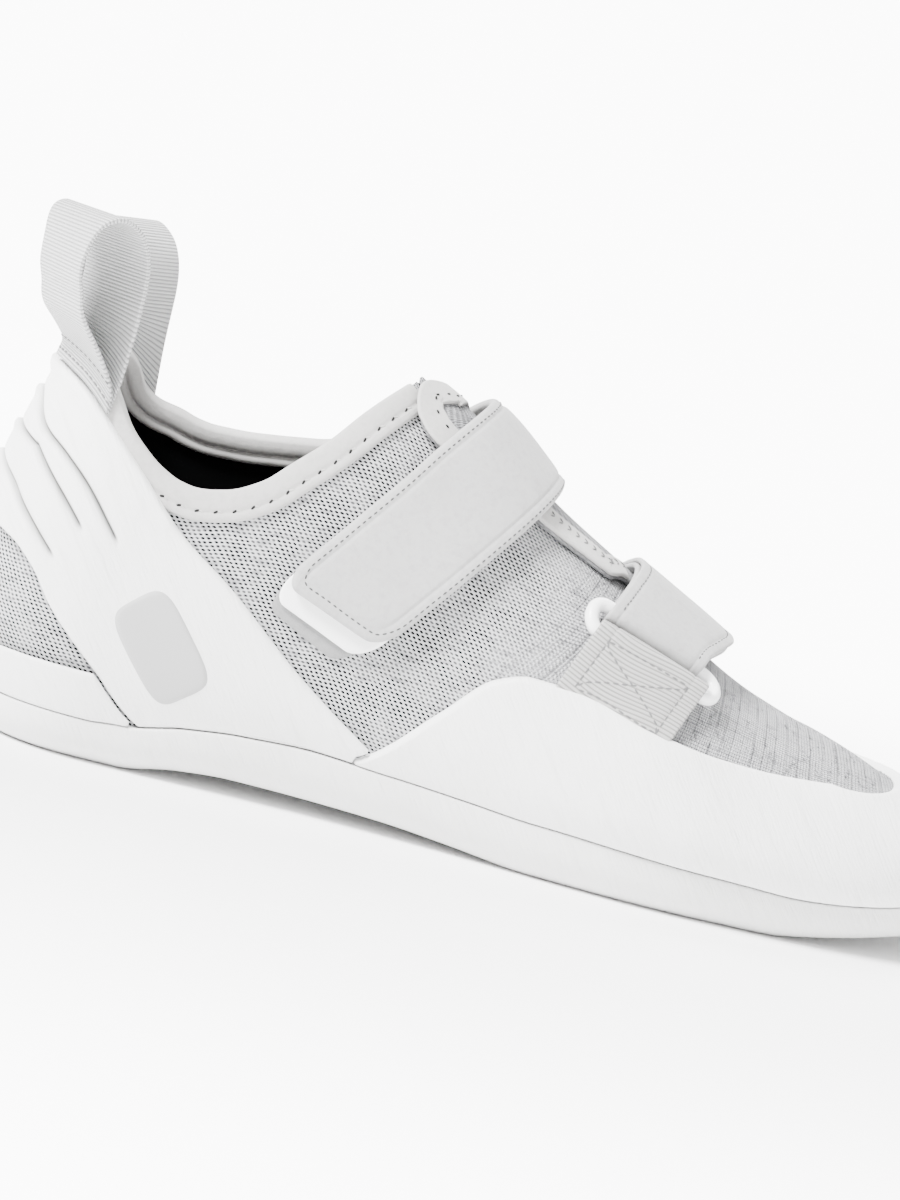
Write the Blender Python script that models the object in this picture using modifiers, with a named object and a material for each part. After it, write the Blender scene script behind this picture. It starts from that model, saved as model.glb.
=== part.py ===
"""A right-foot climbing shoe with two hook-and-loop straps, standing unbent on its sole.

The toe points along +X, the inner side of the foot lies along +Y and +Z is up. The origin is
the middle of the heel's flat rest spot, on the floor. Every piece is worked out from one
surface, the upper's outer skin, through the function skin_point.

A place on the skin is (u, q). u runs from -1 at the toe tip along the outer side to 0 at the
middle of the heel's back, and on along the inner side to 1 at the toe tip again. q runs from
-1 at the sole's seam to 0 where the section is widest and to 1 on the ridge, and past 1 it
runs down the other side of the foot.
"""

import math

import bmesh
import bpy
import numpy as np
from mathutils import Vector

# Driving sizes, in metres
SHOE_LENGTH = 0.265
BALL_WIDTH = 0.0863
HEEL_WIDTH = 0.055
INSTEP_HEIGHT = 0.101
HEEL_HEIGHT = 0.096
HEEL_CENTRE = 0.038
UPPER_WALL = 0.002
GAP = 0.0003
SEAT = 0.0005

# Sole and insole
SOLE_SIDE = 0.013
SOLE_BED = 0.0045
BED_LIMIT = 0.6
SOLE_LIP = 0.0003
ARCH_RISE = 0.0035
INNER_ARCH = 0.004
TOE_SPRING = 0.0145
EDGE_ROUND = 0.007
EDGE_ROUND_HEIGHT = 0.72
FLAT_INSET = 2.2 * EDGE_ROUND
FULL_REACH = 0.020
WALL_CLEAR = 0.0006
INSOLE_CLEAR = 0.0008
INSOLE_TOE = 0.93
BED_SLOPE = 0.003
INSOLE_THICKNESS = 0.0025
REST_SPOT = 0.030

# Rubber and trim laid over the upper
RAND_WALL = 0.0018
SLING_WALL = 0.0018
SLING_STEP = 0.0009
BINDING_WALL = 0.0008
BINDING_WIDTH = 0.0067
BINDING_INSIDE = 0.0050
BINDING_END = 0.345
BINDING_ROUND = 0.0003

# Throat, tongue flap and straps
SLIT_WIDTH = 0.0064
FLAP_WALL = 0.0012
FLAP_LIFT = 0.0011
FLAP_TRIM_WIDTH = 0.006
FLAP_TRIM_WALL = 0.0006
PILE_WALL = 0.0010
HOOK_TAB_WALL = 0.0010
STRAP_WALL = 0.0024
LOWER_STRAP_WALL = 0.0014
RING_LENGTH = 0.0385
RING_BARS_APART = 0.0072
RING_ROD = 0.0033
WEBBING_WALL = 0.0010

# Pull loops
LOOP_WIDTH = 0.020
LOOP_HEIGHT = 0.0395
LOOP_DEPTH = 0.045
LOOP_WALL = 0.0010
LOOP_PLACES = {-1: 0.0585, 1: 0.088}
LOOP_FACING = math.radians(39)
LOOP_CLEARANCE = 0.0014

LAYER = RAND_WALL + SEAT
HEEL_SHARE = HEEL_CENTRE / SHOE_LENGTH
NOSE_START = 0.72
NOSE_DROP_START = 0.86
TIP_X = SHOE_LENGTH - LAYER - SOLE_LIP
HEEL_BACK_X = SLING_WALL + SLING_STEP + GAP
HEEL_ROUNDNESS = 2.2
NOSE_ROUNDNESS = 2.7
NOSE_BLUNTNESS = 2.3
SMALL = 1e-4


class Profile:
    """A smooth curve through hand-set points, level past both ends."""

    def __init__(self, places, values):
        self.places = np.asarray(places, float)
        self.values = np.asarray(values, float)
        runs = np.diff(self.places)
        rises = np.diff(self.values) / runs
        self.slopes = np.zeros(len(self.places))
        for i in range(1, len(self.places) - 1):
            before, after = rises[i - 1], rises[i]
            if before * after > 0:
                early = 2 * runs[i] + runs[i - 1]
                late = runs[i] + 2 * runs[i - 1]
                self.slopes[i] = (early + late) / (early / before + late / after)
        self.slopes[0] = rises[0]
        self.slopes[-1] = rises[-1]

    def __call__(self, place):
        last = len(self.places) - 1
        if place <= self.places[0]:
            return float(self.values[0])
        if place >= self.places[last]:
            return float(self.values[last])
        i = int(np.searchsorted(self.places, place, side="right")) - 1
        run = self.places[i + 1] - self.places[i]
        t = (place - self.places[i]) / run
        start = self.values[i] * (1 + 2 * t) * (1 - t) ** 2
        end = self.values[i + 1] * t * t * (3 - 2 * t)
        leave = run * self.slopes[i] * t * (1 - t) ** 2
        arrive = run * self.slopes[i + 1] * t * t * (t - 1)
        return float(start + end + leave + arrive)


def table(columns, rows):
    """One Profile for each named column after the first, over the first column's values."""
    names = columns.split()
    places = [row[0] for row in rows]
    return {name: Profile(places, [row[i] for row in rows]) for i, name in enumerate(names) if i}


# Sections of the last. along and ridge are shares of the shoe's length and of the instep's
# height. girth is 0 at the heel's width and 1 at the ball's. outer is the share of the width
# on the outer side of the ridge. widest is a share of the height from the seam to the ridge.
SECTIONS = table(
    "along girth outer ridge widest",
    [
        (0.143, 0.000, 0.500, 1.139, 0.190),
        (0.226, -0.005, 0.515, 1.125, 0.150),
        (0.317, -0.010, 0.537, 1.070, 0.130),
        (0.366, 0.030, 0.555, 1.002, 0.135),
        (0.426, 0.130, 0.570, 0.929, 0.150),
        (0.498, 0.350, 0.572, 0.798, 0.180),
        (0.574, 0.660, 0.565, 0.686, 0.190),
        (0.634, 0.880, 0.560, 0.593, 0.200),
        (0.698, 1.000, 0.558, 0.495, 0.210),
        (0.755, 0.985, 0.563, 0.440, 0.225),
        (0.811, 0.930, 0.572, 0.398, 0.240),
        (0.868, 0.850, 0.578, 0.340, 0.250),
        (0.925, 0.700, 0.585, 0.298, 0.250),
        (0.991, 0.300, 0.590, 0.270, 0.250),
    ],
)
# The ridge's distance from the heel's axis, as a share of the ball's width.
SPINE = Profile(
    [0.0, 0.143, 0.30, 0.407, 0.52, 0.62, 0.755, 1.0],
    [0, 0, 0.006, 0.020, 0.040, 0.058, 0.098, 0.145],
)
# The heel's back: setback from its rearmost point as a share of the heel's radius, over
# height as a share of the heel's height.
BACK = Profile(
    [0.09, 0.18, 0.31, 0.45, 0.57, 0.65, 0.73, 0.83, 0.94, 1.02],
    [0.235, 0.100, 0.016, 0.0, 0.018, 0.052, 0.110, 0.190, 0.258, 0.300],
)
BACK_WIDEST = 0.44
SIDE_TUCK = 0.08
# The sole: arch and spring are shares of the arch's rise and the toe spring, band is the
# share of the sole's side height.
SOLE = table(
    "along arch spring band",
    [
        (0.000, 0.00, 0.00, 0.73),
        (0.120, 0.00, 0.00, 0.75),
        (0.170, 0.00, 0.00, 0.84),
        (0.226, 0.72, 0.00, 0.86),
        (0.275, 1.00, 0.00, 0.90),
        (0.340, 0.95, 0.00, 0.97),
        (0.407, 0.82, 0.00, 0.93),
        (0.480, 0.42, 0.00, 0.96),
        (0.547, 0.00, 0.00, 1.00),
        (0.672, 0.00, 0.00, 0.92),
        (0.762, 0.00, 0.00, 0.85),
        (0.807, 0.00, 0.10, 0.75),
        (0.857, 0.00, 0.25, 0.69),
        (0.887, 0.00, 0.35, 0.68),
        (0.943, 0.00, 0.52, 0.60),
        (0.970, 0.00, 0.68, 0.46),
        (0.989, 0.00, 0.86, 0.32),
        (1.000, 0.00, 1.00, 0.20),
    ],
)
# The collar's edge on both sides, as shares of the heel's height.
COLLAR = table(
    "along outer inner",
    [
        (0.0000, 1.000, 1.000),
        (0.0640, 0.955, 0.975),
        (0.0930, 0.885, 0.931),
        (0.1130, 0.823, 0.864),
        (0.1320, 0.779, 0.838),
        (0.1510, 0.743, 0.828),
        (0.1700, 0.721, 0.813),
        (0.1850, 0.715, 0.808),
        (0.2110, 0.727, 0.810),
        (0.2415, 0.770, 0.820),
        (0.2640, 0.830, 0.830),
        (0.2890, 0.898, 0.844),
        (0.3170, 0.990, 0.896),
        (0.3320, 1.031, 0.953),
        (0.3550, 1.083, 1.083),
    ],
)
SLIT = Profile([0.40, 0.50, 0.575], [1.0, 0.6, 0.0])
# Top edge of the toe rand and both edges of the heel sling, in shares of the instep's height.
RAND_TOP = Profile(
    [0.373, 0.390, 0.439, 0.480, 0.510, 0.550, 0.620, 0.680, 0.745, 0.800, 0.862],
    [0.160, 0.190, 0.325, 0.432, 0.456, 0.452, 0.408, 0.375, 0.358, 0.354, 0.355],
)
RAND_START = 0.376
RAND_RISE = 0.410
RAND_BEND = 0.790
RAND_CROSSING = 0.862
SLING = table(
    "along top bottom",
    [
        (0.0000, 0.880, 0.500),
        (0.0300, 0.873, 0.488),
        (0.0580, 0.851, 0.462),
        (0.0757, 0.826, 0.418),
        (0.0950, 0.787, 0.340),
        (0.1335, 0.699, 0.230),
        (0.1700, 0.606, 0.140),
        (0.1850, 0.572, 0.115),
        (0.2350, 0.484, 0.050),
        (0.3130, 0.324, 0.050),
        (0.3900, 0.192, 0.050),
    ],
)
SLING_END = 0.387
SLING_LAP_CLEAR = 0.0012
SLING_LAP_CLIMB = 0.0030
HEEL_RAND_TOP = 0.215
HEEL_RAND_END = 0.176
# Steps moulded across the sling: height of each one's line at the heel's back, as a share of
# the instep's height, and how far it falls for each share of length.
SLING_LINES = [0.80, 0.73, 0.65]
SLING_LINE_FALL = 1.9
SLING_LINE_FADE = 0.095
# The tongue flap's outer edge and the main strap's standoff, over q.
FLAP_EDGE = Profile(
    [0.348, 0.354, 0.364, 0.400, 0.470, 0.530, 0.558, 0.570, 0.590],
    [0.84, 0.75, 0.69, 0.66, 0.72, 0.765, 0.785, 0.850, 0.885],
)
FLAP_INNER_Q = 1.36
FLAP_TOP = 0.348
FLAP_END = 0.590
FLAP_TRIM_END = 0.574
# The straps lie between leaning planes: lean is how far back they go for each metre down, and
# the two edges are shares of the shoe's length where the planes meet the floor.
STRAP_LEAN = 0.78
STRAP_EDGES = (0.118, 0.249)
STRAP_END_HEIGHTS = (0.560, 0.462)
STRAP_CORNER = 0.006
# How far the pile patch and the hook tab show past the strap's end.
PILE_REACH = 0.0062
HOOK_REACH = 0.0038
# At its upper edge the strap bows forward on the ridge, a share of the length, and stands off.
STRAP_BOW = 0.009
STRAP_STAND = 0.0014
STRAP_INNER_ENDS = (0.510, 0.440)
STRAP_STANDOFF = Profile(
    [0.20, 0.62, 0.86, 1.10, 1.36, 1.50, 1.70], [0.0031, 0.0035, 0.0044, 0.0043, 0.0034, 0.0014, 0.0004]
)
LOWER_LEAN = 0.53
LOWER_EDGES = (0.439, 0.563)
LOWER_EDGES_AT_RING = (0.4365, 0.5435)
LOWER_STAND = 0.0020
HEM_CLEARANCE = 0.0012
LOWER_TIP_Q = 1.45
RING_ALONG = 0.605
RING_Q = 0.563
RING_SLOPE = 0.11
WEBBING_LEAN = 0.45
WEBBING_EDGES = (0.4545, 0.5725)
# A pull loop's path from its inner end over the top to its outer end: outward and up, as
# shares of its height.
LOOP_PATH = [
    (-0.013, 0.000),
    (-0.018, 0.080),
    (-0.026, 0.184),
    (-0.044, 0.344),
    (-0.064, 0.520),
    (-0.054, 0.700),
    (-0.014, 0.834),
    (0.054, 0.926),
    (0.160, 0.980),
    (0.256, 0.940),
    (0.315, 0.840),
    (0.332, 0.700),
    (0.318, 0.560),
    (0.268, 0.390),
    (0.176, 0.260),
    (0.086, 0.128),
    (0.040, 0.060),
    (0.015, 0.000),
]


def smooth_step(low, high, value):
    t = min(1.0, max(0.0, (value - low) / (high - low)))
    return t * t * (3 - 2 * t)


def station_x(station):
    """Distance from the heel's back of a section past the heel's centre."""
    if station <= NOSE_START:
        return station * SHOE_LENGTH
    turn = (station - NOSE_START) / (1 - NOSE_START) * math.pi / 2
    start = NOSE_START * SHOE_LENGTH
    return start + (TIP_X - start) * math.sin(turn)


def station_of(x):
    """The section at this distance from the heel's back, the inverse of station_x."""
    start = NOSE_START * SHOE_LENGTH
    if x <= start:
        return x / SHOE_LENGTH
    turn = math.asin(min(1.0, (x - start) / (TIP_X - start)))
    return NOSE_START + (1 - NOSE_START) * turn / (math.pi / 2)


def sole_bottom(x, side, spread):
    """Height of the sole's underside. spread is 0 on the spine and 1 at the edge."""
    along = x / SHOE_LENGTH
    inner = INNER_ARCH * spread**2 if side > 0 else 0.0
    return (ARCH_RISE + inner) * SOLE["arch"](along) + TOE_SPRING * SOLE["spring"](along)


def band_height(x):
    return SOLE_SIDE * SOLE["band"](x / SHOE_LENGTH)


def bed_height(x, side, spread):
    """Height of the hollow in the sole's upper face that the insole lies in."""
    return sole_bottom(x, side, spread) + min(SOLE_BED, BED_LIMIT * band_height(x))


def seam_height(x, side):
    return sole_bottom(x, side, 1) + band_height(x)


def section(x, side):
    """(half width, seam height, widest height, ridge height) of the last at x on one side."""
    along = x / SHOE_LENGTH
    width = HEEL_WIDTH + (BALL_WIDTH - HEEL_WIDTH) * SECTIONS["girth"](along)
    share = SECTIONS["outer"](along)
    half = width * (share if side < 0 else 1 - share)
    start = NOSE_START * SHOE_LENGTH
    nose = min(1.0, max(0.0, (x - start) / (TIP_X - start)))
    half *= (1 - nose**NOSE_BLUNTNESS) ** (1 / NOSE_BLUNTNESS)
    seam = seam_height(x, side)
    ridge = INSTEP_HEIGHT * SECTIONS["ridge"](along)
    drop_start = NOSE_DROP_START * SHOE_LENGTH
    drop = min(1.0, max(0.0, (x - drop_start) / (TIP_X - drop_start)))
    ridge = seam + (ridge - seam) * (1 - drop**NOSE_ROUNDNESS) ** (1 / NOSE_ROUNDNESS)
    widest = seam + (ridge - seam) * SECTIONS["widest"](along)
    return half, seam, widest, ridge


def side_reach(x, side, height):
    """Distance from the spine to the skin at this height, on the section at x."""
    half, seam, widest, ridge = section(x, side)
    if height >= widest:
        rise = min(1.0, (height - widest) / max(ridge - widest, SMALL))
        return half * math.sqrt(1 - rise**2)
    below = min(1.3, (widest - height) / max(widest - seam, SMALL))
    return half * (1 - SIDE_TUCK * below**2)


def heel_turn(station):
    """Angle from straight back to the side for a station within the heel."""
    return station / HEEL_SHARE * math.pi / 2


def heel_levels(station, side):
    """(seam, widest, ridge) heights for a station within the heel."""
    back = math.cos(heel_turn(station)) ** 2
    _, seam, widest, ridge = section(HEEL_CENTRE, side)
    return seam, widest + (BACK_WIDEST * HEEL_HEIGHT - widest) * back, ridge


def levels(station, side):
    if station < HEEL_SHARE:
        return heel_levels(station, side)
    return section(station_x(station), side)[1:]


def q_at(station, side, height):
    """The q of the skin at this height."""
    seam, widest, ridge = levels(station, side)
    if height < widest:
        return (height - widest) / max(widest - seam, SMALL)
    return 2 / math.pi * math.asin(min(1.0, (height - widest) / max(ridge - widest, SMALL)))


def height_at(station, side, q):
    seam, widest, ridge = levels(station, side)
    if q < 0:
        return widest + q * (widest - seam)
    return widest + (ridge - widest) * math.sin(q * math.pi / 2)


def spine(x):
    return BALL_WIDTH * SPINE(x / SHOE_LENGTH)


def skin_point(u, q):
    """A point of the upper's outer skin, in metres from the heel's back."""
    u = max(-1.0, min(1.0, u))
    if q > 1:
        u, q = -u, 2 - q
    side = -1 if u < 0 else 1
    station = abs(u)
    height = height_at(station, side, q)
    if station >= HEEL_SHARE:
        x = station_x(station)
        half, _, widest, _ = section(x, side)
        if q >= 0:
            reach = half * math.cos(q * math.pi / 2)
        else:
            reach = side_reach(x, side, height)
        return Vector((x, spine(x) + side * reach, height))
    turn = heel_turn(station)
    across = max(side_reach(HEEL_CENTRE, side, height), SMALL)
    back = (HEEL_CENTRE - HEEL_BACK_X) * (1 - BACK(height / HEEL_HEIGHT))
    power = HEEL_ROUNDNESS
    reach = ((math.cos(turn) / back) ** power + (math.sin(turn) / across) ** power) ** (-1 / power)
    return Vector((HEEL_CENTRE - reach * math.cos(turn), side * reach * math.sin(turn), height))


def skin_slopes(u, q):
    """How the skin moves for a step in u and for a step in q."""
    low, high = max(-1.0, u - SMALL), min(1.0, u + SMALL)
    along = (skin_point(high, q) - skin_point(low, q)) / (high - low)
    below, above = max(-1.0, q - SMALL), q + SMALL
    up = (skin_point(u, above) - skin_point(u, below)) / (above - below)
    return along, up


def skin_normal(u, q):
    along, up = skin_slopes(u, q)
    normal = up.cross(along)
    if abs(u) > 1 - SMALL or normal.length < 1e-12:
        return Vector((1, 0, 0))
    return normal.normalized()


def lifted(u, q, lift):
    """A point at this distance outside the skin, kept level where the wall tucks under."""
    normal = skin_normal(u, q)
    out = Vector((normal.x, normal.y, max(normal.z, 0.0))).normalized()
    return skin_point(u, q) + out * (lift / max(0.6, out.dot(normal)))


def stepped(u, q, heading, distance):
    """The (u, q) reached by a step on the skin in the heading's direction."""
    along, up = skin_slopes(u, q)
    slopes = np.array([along, up]).T
    move = np.linalg.lstsq(slopes, np.array(heading) * distance, rcond=None)[0]
    return u + float(move[0]), q + float(move[1])


def collar_q(station, side):
    height = HEEL_HEIGHT * COLLAR["outer" if side < 0 else "inner"](station)
    return q_at(station, side, height)


def top_q(station, side):
    """The upper's top edge: the collar, then the throat's slit, then the closed ridge."""
    if station < HEEL_SHARE:
        return collar_q(station, side)
    half = section(station_x(station), side)[0]
    slit = 0.0
    if station < SLIT.places[-1]:
        slit = SLIT_WIDTH / 2 * SLIT(station) / half * 2 / math.pi
    if station > COLLAR["outer"].places[-1]:
        return 1 - slit
    return min(collar_q(station, side), 1 - slit)


def spaced(start, end, count):
    return [start + (end - start) * i / count for i in range(count + 1)]


def shared_stations():
    """The stations that every piece is built on, with those where a piece ends among them."""
    crossing = station_of(RAND_CROSSING * SHOE_LENGTH)
    ends = [HEEL_RAND_END, RAND_START, SLING_END, BINDING_END, crossing, RAND_RISE]
    ends += [crossing - 0.0035, crossing - 0.010, crossing - 0.020, crossing - 0.034]
    even = spaced(0.0, HEEL_SHARE, 7) + spaced(HEEL_SHARE, BINDING_END, 10)
    even += spaced(BINDING_END, NOSE_START, 7) + spaced(NOSE_START, 1.0, 6)
    apart = 0.006
    return sorted(ends + [s for s in even if all(abs(s - end) > apart for end in ends)])


STATIONS = shared_stations()
STATIONS = [s for i, s in enumerate(STATIONS) if i == 0 or s - STATIONS[i - 1] > SMALL]
RING_OF_STATIONS = [-s for s in reversed(STATIONS)] + STATIONS[1:]


def stations_between(start, end):
    """The shared stations from start to end, with both ends."""
    return [start] + [s for s in STATIONS if start + SMALL < s < end - SMALL] + [end]


def both_sides(stations):
    return [-s for s in reversed(stations)] + [s for s in stations if s > 0]


def side_of(u):
    return -1 if u < 0 else 1


part_collection = bpy.data.collections.new("climbing_shoe")


def material(name, colour, roughness):
    made = bpy.data.materials.new(name)
    made.use_nodes = True
    shader = made.node_tree.nodes["Principled BSDF"]
    shader.inputs["Base Color"].default_value = (*colour, 1)
    shader.inputs["Roughness"].default_value = roughness
    shader.inputs["Metallic"].default_value = 0.0
    return made


def add_object(name, mesh, finish):
    piece = bpy.data.objects.new(name, mesh)
    mesh.materials.append(finish)
    part_collection.objects.link(piece)
    return piece


def framed(point):
    """From distances measured at the heel's back to the part's own frame."""
    return Vector((point[0] - REST_SPOT, point[1], point[2]))


def grid_mesh(name, grid, closed_rows=False):
    """A sheet through a grid of points, with points that coincide merged."""
    builder = bmesh.new()
    rows = [[builder.verts.new(framed(point)) for point in row] for row in grid]
    for row, following in zip(rows, rows[1:]):
        count = len(row)
        for i in range(count if closed_rows else count - 1):
            j = (i + 1) % count
            builder.faces.new((row[i], row[j], following[j], following[i]))
    bmesh.ops.remove_doubles(builder, verts=builder.verts, dist=1e-6)
    bmesh.ops.recalc_face_normals(builder, faces=builder.faces)
    mesh = bpy.data.meshes.new(name)
    builder.to_mesh(mesh)
    builder.free()
    mesh.shade_smooth()
    return mesh


def face_out(mesh, inside):
    """Turns an open sheet's faces so that they look away from a point inside the shoe."""
    builder = bmesh.new()
    builder.from_mesh(mesh)
    centre = framed(inside)
    looks_out = sum((f.calc_center_median() - centre).dot(f.normal) * f.calc_area() for f in builder.faces)
    if looks_out < 0:
        bmesh.ops.reverse_faces(builder, faces=builder.faces)
    builder.to_mesh(mesh)
    builder.free()


SHOE_MIDDLE = (0.13, 0.0, 0.03)


def sheet(name, grid, thickness, finish, offset=-1.0, inside=SHOE_MIDDLE, even=True):
    """A shell whose grid is its outer face, or its middle where offset is 0."""
    mesh = grid_mesh(name, grid)
    face_out(mesh, inside)
    piece = add_object(name, mesh, finish)
    wall = piece.modifiers.new("wall", "SOLIDIFY")
    wall.thickness = thickness
    wall.offset = offset
    wall.use_even_offset = even
    wall.use_quality_normals = True
    return piece


def q_rows(end):
    """The upper's rows from the seam to its top edge."""
    return [-1.0, -0.5, 0.0] + [end * (i / 10) ** 0.85 for i in range(1, 11)]


def build_upper(finish):
    grid = []
    for u in RING_OF_STATIONS:
        rows = q_rows(top_q(abs(u), side_of(u)))
        column = [skin_point(u, q) for q in rows]
        column[0] = column[0] + Vector((0, 0, GAP))
        grid.append(column)
    return sheet("upper", grid, UPPER_WALL, finish, even=False)


def edge_place(u):
    """(edge point, centre point) of the sole at one station."""
    feather = skin_point(u, -1.0)
    normal = skin_normal(u, -1.0)
    out = Vector((normal.x, normal.y, 0)).normalized()
    edge = feather + out * (LAYER + SOLE_LIP)
    station = abs(u)
    if station < HEEL_SHARE:
        centre = Vector((HEEL_CENTRE, 0, 0))
    else:
        x = station_x(station)
        centre = Vector((x, spine(x), 0))
    return edge, centre


def sole_row(u, inset, height_of):
    """A point of the sole at a distance in from its edge, or at the centre for None."""
    edge, centre = edge_place(u)
    reach = Vector((edge.x - centre.x, edge.y - centre.y, 0)).length
    scale = min(1.0, reach / FULL_REACH)
    share = 1.0 if inset is None else min(1.0, inset * scale / max(reach, SMALL))
    x = edge.x + (centre.x - edge.x) * share
    y = edge.y + (centre.y - edge.y) * share
    return Vector((x, y, height_of(x, 1 - share)))


def build_sole(finish):
    ledge = SOLE_LIP + LAYER + UPPER_WALL + WALL_CLEAR
    grid = []
    for u in RING_OF_STATIONS[:-1]:
        side = side_of(u)

        def bottom(x, spread):
            return sole_bottom(x, side, spread)

        top = levels(abs(u), side)[0]

        def raised(share):
            return lambda x, spread: sole_bottom(x, side, spread) * (1 - share) + top * share

        def bed(x, spread):
            return bed_height(x, side, spread)

        def seam(x, spread):
            return top

        column = [sole_row(u, inset, bottom) for inset in (None, FLAT_INSET, EDGE_ROUND)]
        for turn in (30, 60, 90):
            angle = math.radians(turn)
            inset = EDGE_ROUND * (1 - math.sin(angle))
            column.append(sole_row(u, inset, raised(EDGE_ROUND_HEIGHT * (1 - math.cos(angle)))))
        column.append(sole_row(u, 0.0, seam))
        column.append(sole_row(u, ledge, seam))
        column.append(sole_row(u, ledge + BED_SLOPE, bed))
        column.append(sole_row(u, FLAT_INSET, bed))
        column.append(sole_row(u, None, bed))
        grid.append(column)
    grid.append(grid[0])
    return add_object("sole", grid_mesh("sole", grid), finish)


def build_insole(finish):
    inset = SOLE_LIP + LAYER + UPPER_WALL + WALL_CLEAR + BED_SLOPE + INSOLE_CLEAR
    grid = []
    stations = [s for s in RING_OF_STATIONS if abs(s) < INSOLE_TOE]
    stations = [-INSOLE_TOE] + stations + [INSOLE_TOE]
    for u in stations:
        side = side_of(u)

        def above(lift):
            def height(x, spread):
                return bed_height(x, side, spread) + lift

            return height

        low, high = above(GAP), above(GAP + INSOLE_THICKNESS)
        column = [sole_row(u, None, low), sole_row(u, inset, low)]
        column += [sole_row(u, inset, high), sole_row(u, None, high)]
        grid.append(column)
    mesh = grid_mesh("insole", grid)
    builder = bmesh.new()
    builder.from_mesh(mesh)
    bmesh.ops.holes_fill(builder, edges=builder.edges, sides=0)
    bmesh.ops.recalc_face_normals(builder, faces=builder.faces)
    builder.to_mesh(mesh)
    builder.free()
    return add_object("insole", mesh, finish)


def arch_lift(station, side):
    """How much higher the sole's seam is on this side than on the outer side."""
    return levels(station, side)[0] - levels(station, -1)[0]


def rand_top(station, side):
    return INSTEP_HEIGHT * RAND_TOP(station_x(station) / SHOE_LENGTH) + arch_lift(station, side)


def rand_q(station, side):
    """The toe rand's top edge."""
    along = station_x(station) / SHOE_LENGTH
    if along >= RAND_CROSSING - SMALL:
        return 1.0
    if along <= RAND_BEND:
        return q_at(station, side, rand_top(station, side))
    bend = q_at(station_of(RAND_BEND * SHOE_LENGTH), side, INSTEP_HEIGHT * RAND_TOP(RAND_BEND))
    share = (along - RAND_BEND) / (RAND_CROSSING - RAND_BEND)
    return 1 - (1 - bend) * math.sqrt(1 - share**2)


def build_toe_rand(finish):
    crossing = station_of(RAND_CROSSING * SHOE_LENGTH)
    stations = stations_between(RAND_START, crossing) + stations_between(crossing, 1.0)[1:]
    grid = []
    for u in [s for s in reversed(stations)] + [-s for s in stations]:
        side = side_of(u)
        top = rand_q(abs(u), side)
        low = q_at(abs(u), side, levels(abs(u), side)[0] + SEAT)
        if top > 0:
            rows = spaced(low, 0.0, 2) + [top * i / 7 for i in range(1, 8)]
        else:
            rows = spaced(low, top, 9)
        grid.append([lifted(u, q, LAYER) for q in rows])
    first, second = grid[: len(stations)], grid[len(stations) :]
    joined = grid_mesh("toe_rand", list(reversed(first)))
    other = grid_mesh("toe_rand_inner", second)
    builder = bmesh.new()
    builder.from_mesh(joined)
    builder.from_mesh(other)
    bmesh.ops.remove_doubles(builder, verts=builder.verts, dist=1e-5)
    bmesh.ops.recalc_face_normals(builder, faces=builder.faces)
    builder.to_mesh(joined)
    builder.free()
    bpy.data.meshes.remove(other)
    face_out(joined, (0.20, 0.005, 0.02))
    piece = add_object("toe_rand", joined, finish)
    wall = piece.modifiers.new("wall", "SOLIDIFY")
    wall.thickness = RAND_WALL
    wall.offset = -1.0
    wall.use_quality_normals = True
    return piece


def sling_lift(station, height):
    """The sling's outer face, which steps out below each moulded line and fades to the front."""
    lift = GAP + SLING_WALL
    for line in SLING_LINES:
        level = INSTEP_HEIGHT * (line - SLING_LINE_FALL * station)
        below = 1 - smooth_step(level - 0.0008, level + 0.0008, height)
        fade = 1 - smooth_step(0.4 * SLING_LINE_FADE, SLING_LINE_FADE, station)
        lift += SLING_STEP / len(SLING_LINES) * below * fade
    return lift


def binding_foot(station, side):
    """Height of the collar binding's lower edge outside."""
    edge = COLLAR["outer" if side < 0 else "inner"]
    step = 0.004
    before, after = skin_point(side * (station - step), 0.5), skin_point(side * (station + step), 0.5)
    fall = HEEL_HEIGHT * (edge(station + step) - edge(station - step)) / (after - before).length
    return HEEL_HEIGHT * edge(station) - BINDING_WIDTH * math.hypot(1, fall)


def build_heel_sling(finish):
    outer = []
    inner = []
    for u in both_sides(stations_between(0.0, SLING_END)):
        station, side = abs(u), side_of(u)
        top = INSTEP_HEIGHT * SLING["top"](station) + arch_lift(station, side)
        floor = levels(station, side)[0] + GAP
        bottom = max(INSTEP_HEIGHT * SLING["bottom"](station), floor)
        if station > RAND_START - SMALL:
            bottom = max(bottom, rand_top(station, side) + SEAT)
        lap = min(binding_foot(station, side) - SLING_LAP_CLEAR, top)
        climb = max(min(lap, top) - SLING_LAP_CLIMB, bottom + (top - bottom) * 0.7)
        climb = min(climb, (bottom + 3 * lap) / 4) if lap > bottom else climb
        heights = spaced(bottom, climb, 5) + [lap, top]
        over = [0.0] * 6 + ([1.0, 1.0] if lap < top else [0.0, 0.0])
        if lap >= top:
            heights = spaced(bottom, top, 7)
        outer_row = []
        inner_row = []
        for height, share in zip(heights, over):
            raised = share * (BINDING_WALL + SEAT)
            q = q_at(station, side, height)
            outer_row.append(lifted(u, q, sling_lift(station, height) + raised))
            inner_row.append(lifted(u, q, GAP + raised))
        outer.append(outer_row)
        inner.append(inner_row)
    grid = [a + list(reversed(b)) for a, b in zip(outer, inner)]
    mesh = grid_mesh("heel_sling", grid, closed_rows=True)
    builder = bmesh.new()
    builder.from_mesh(mesh)
    bmesh.ops.holes_fill(builder, edges=builder.edges, sides=0)
    bmesh.ops.recalc_face_normals(builder, faces=builder.faces)
    builder.to_mesh(mesh)
    builder.free()
    return add_object("heel_sling", mesh, finish)


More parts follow.
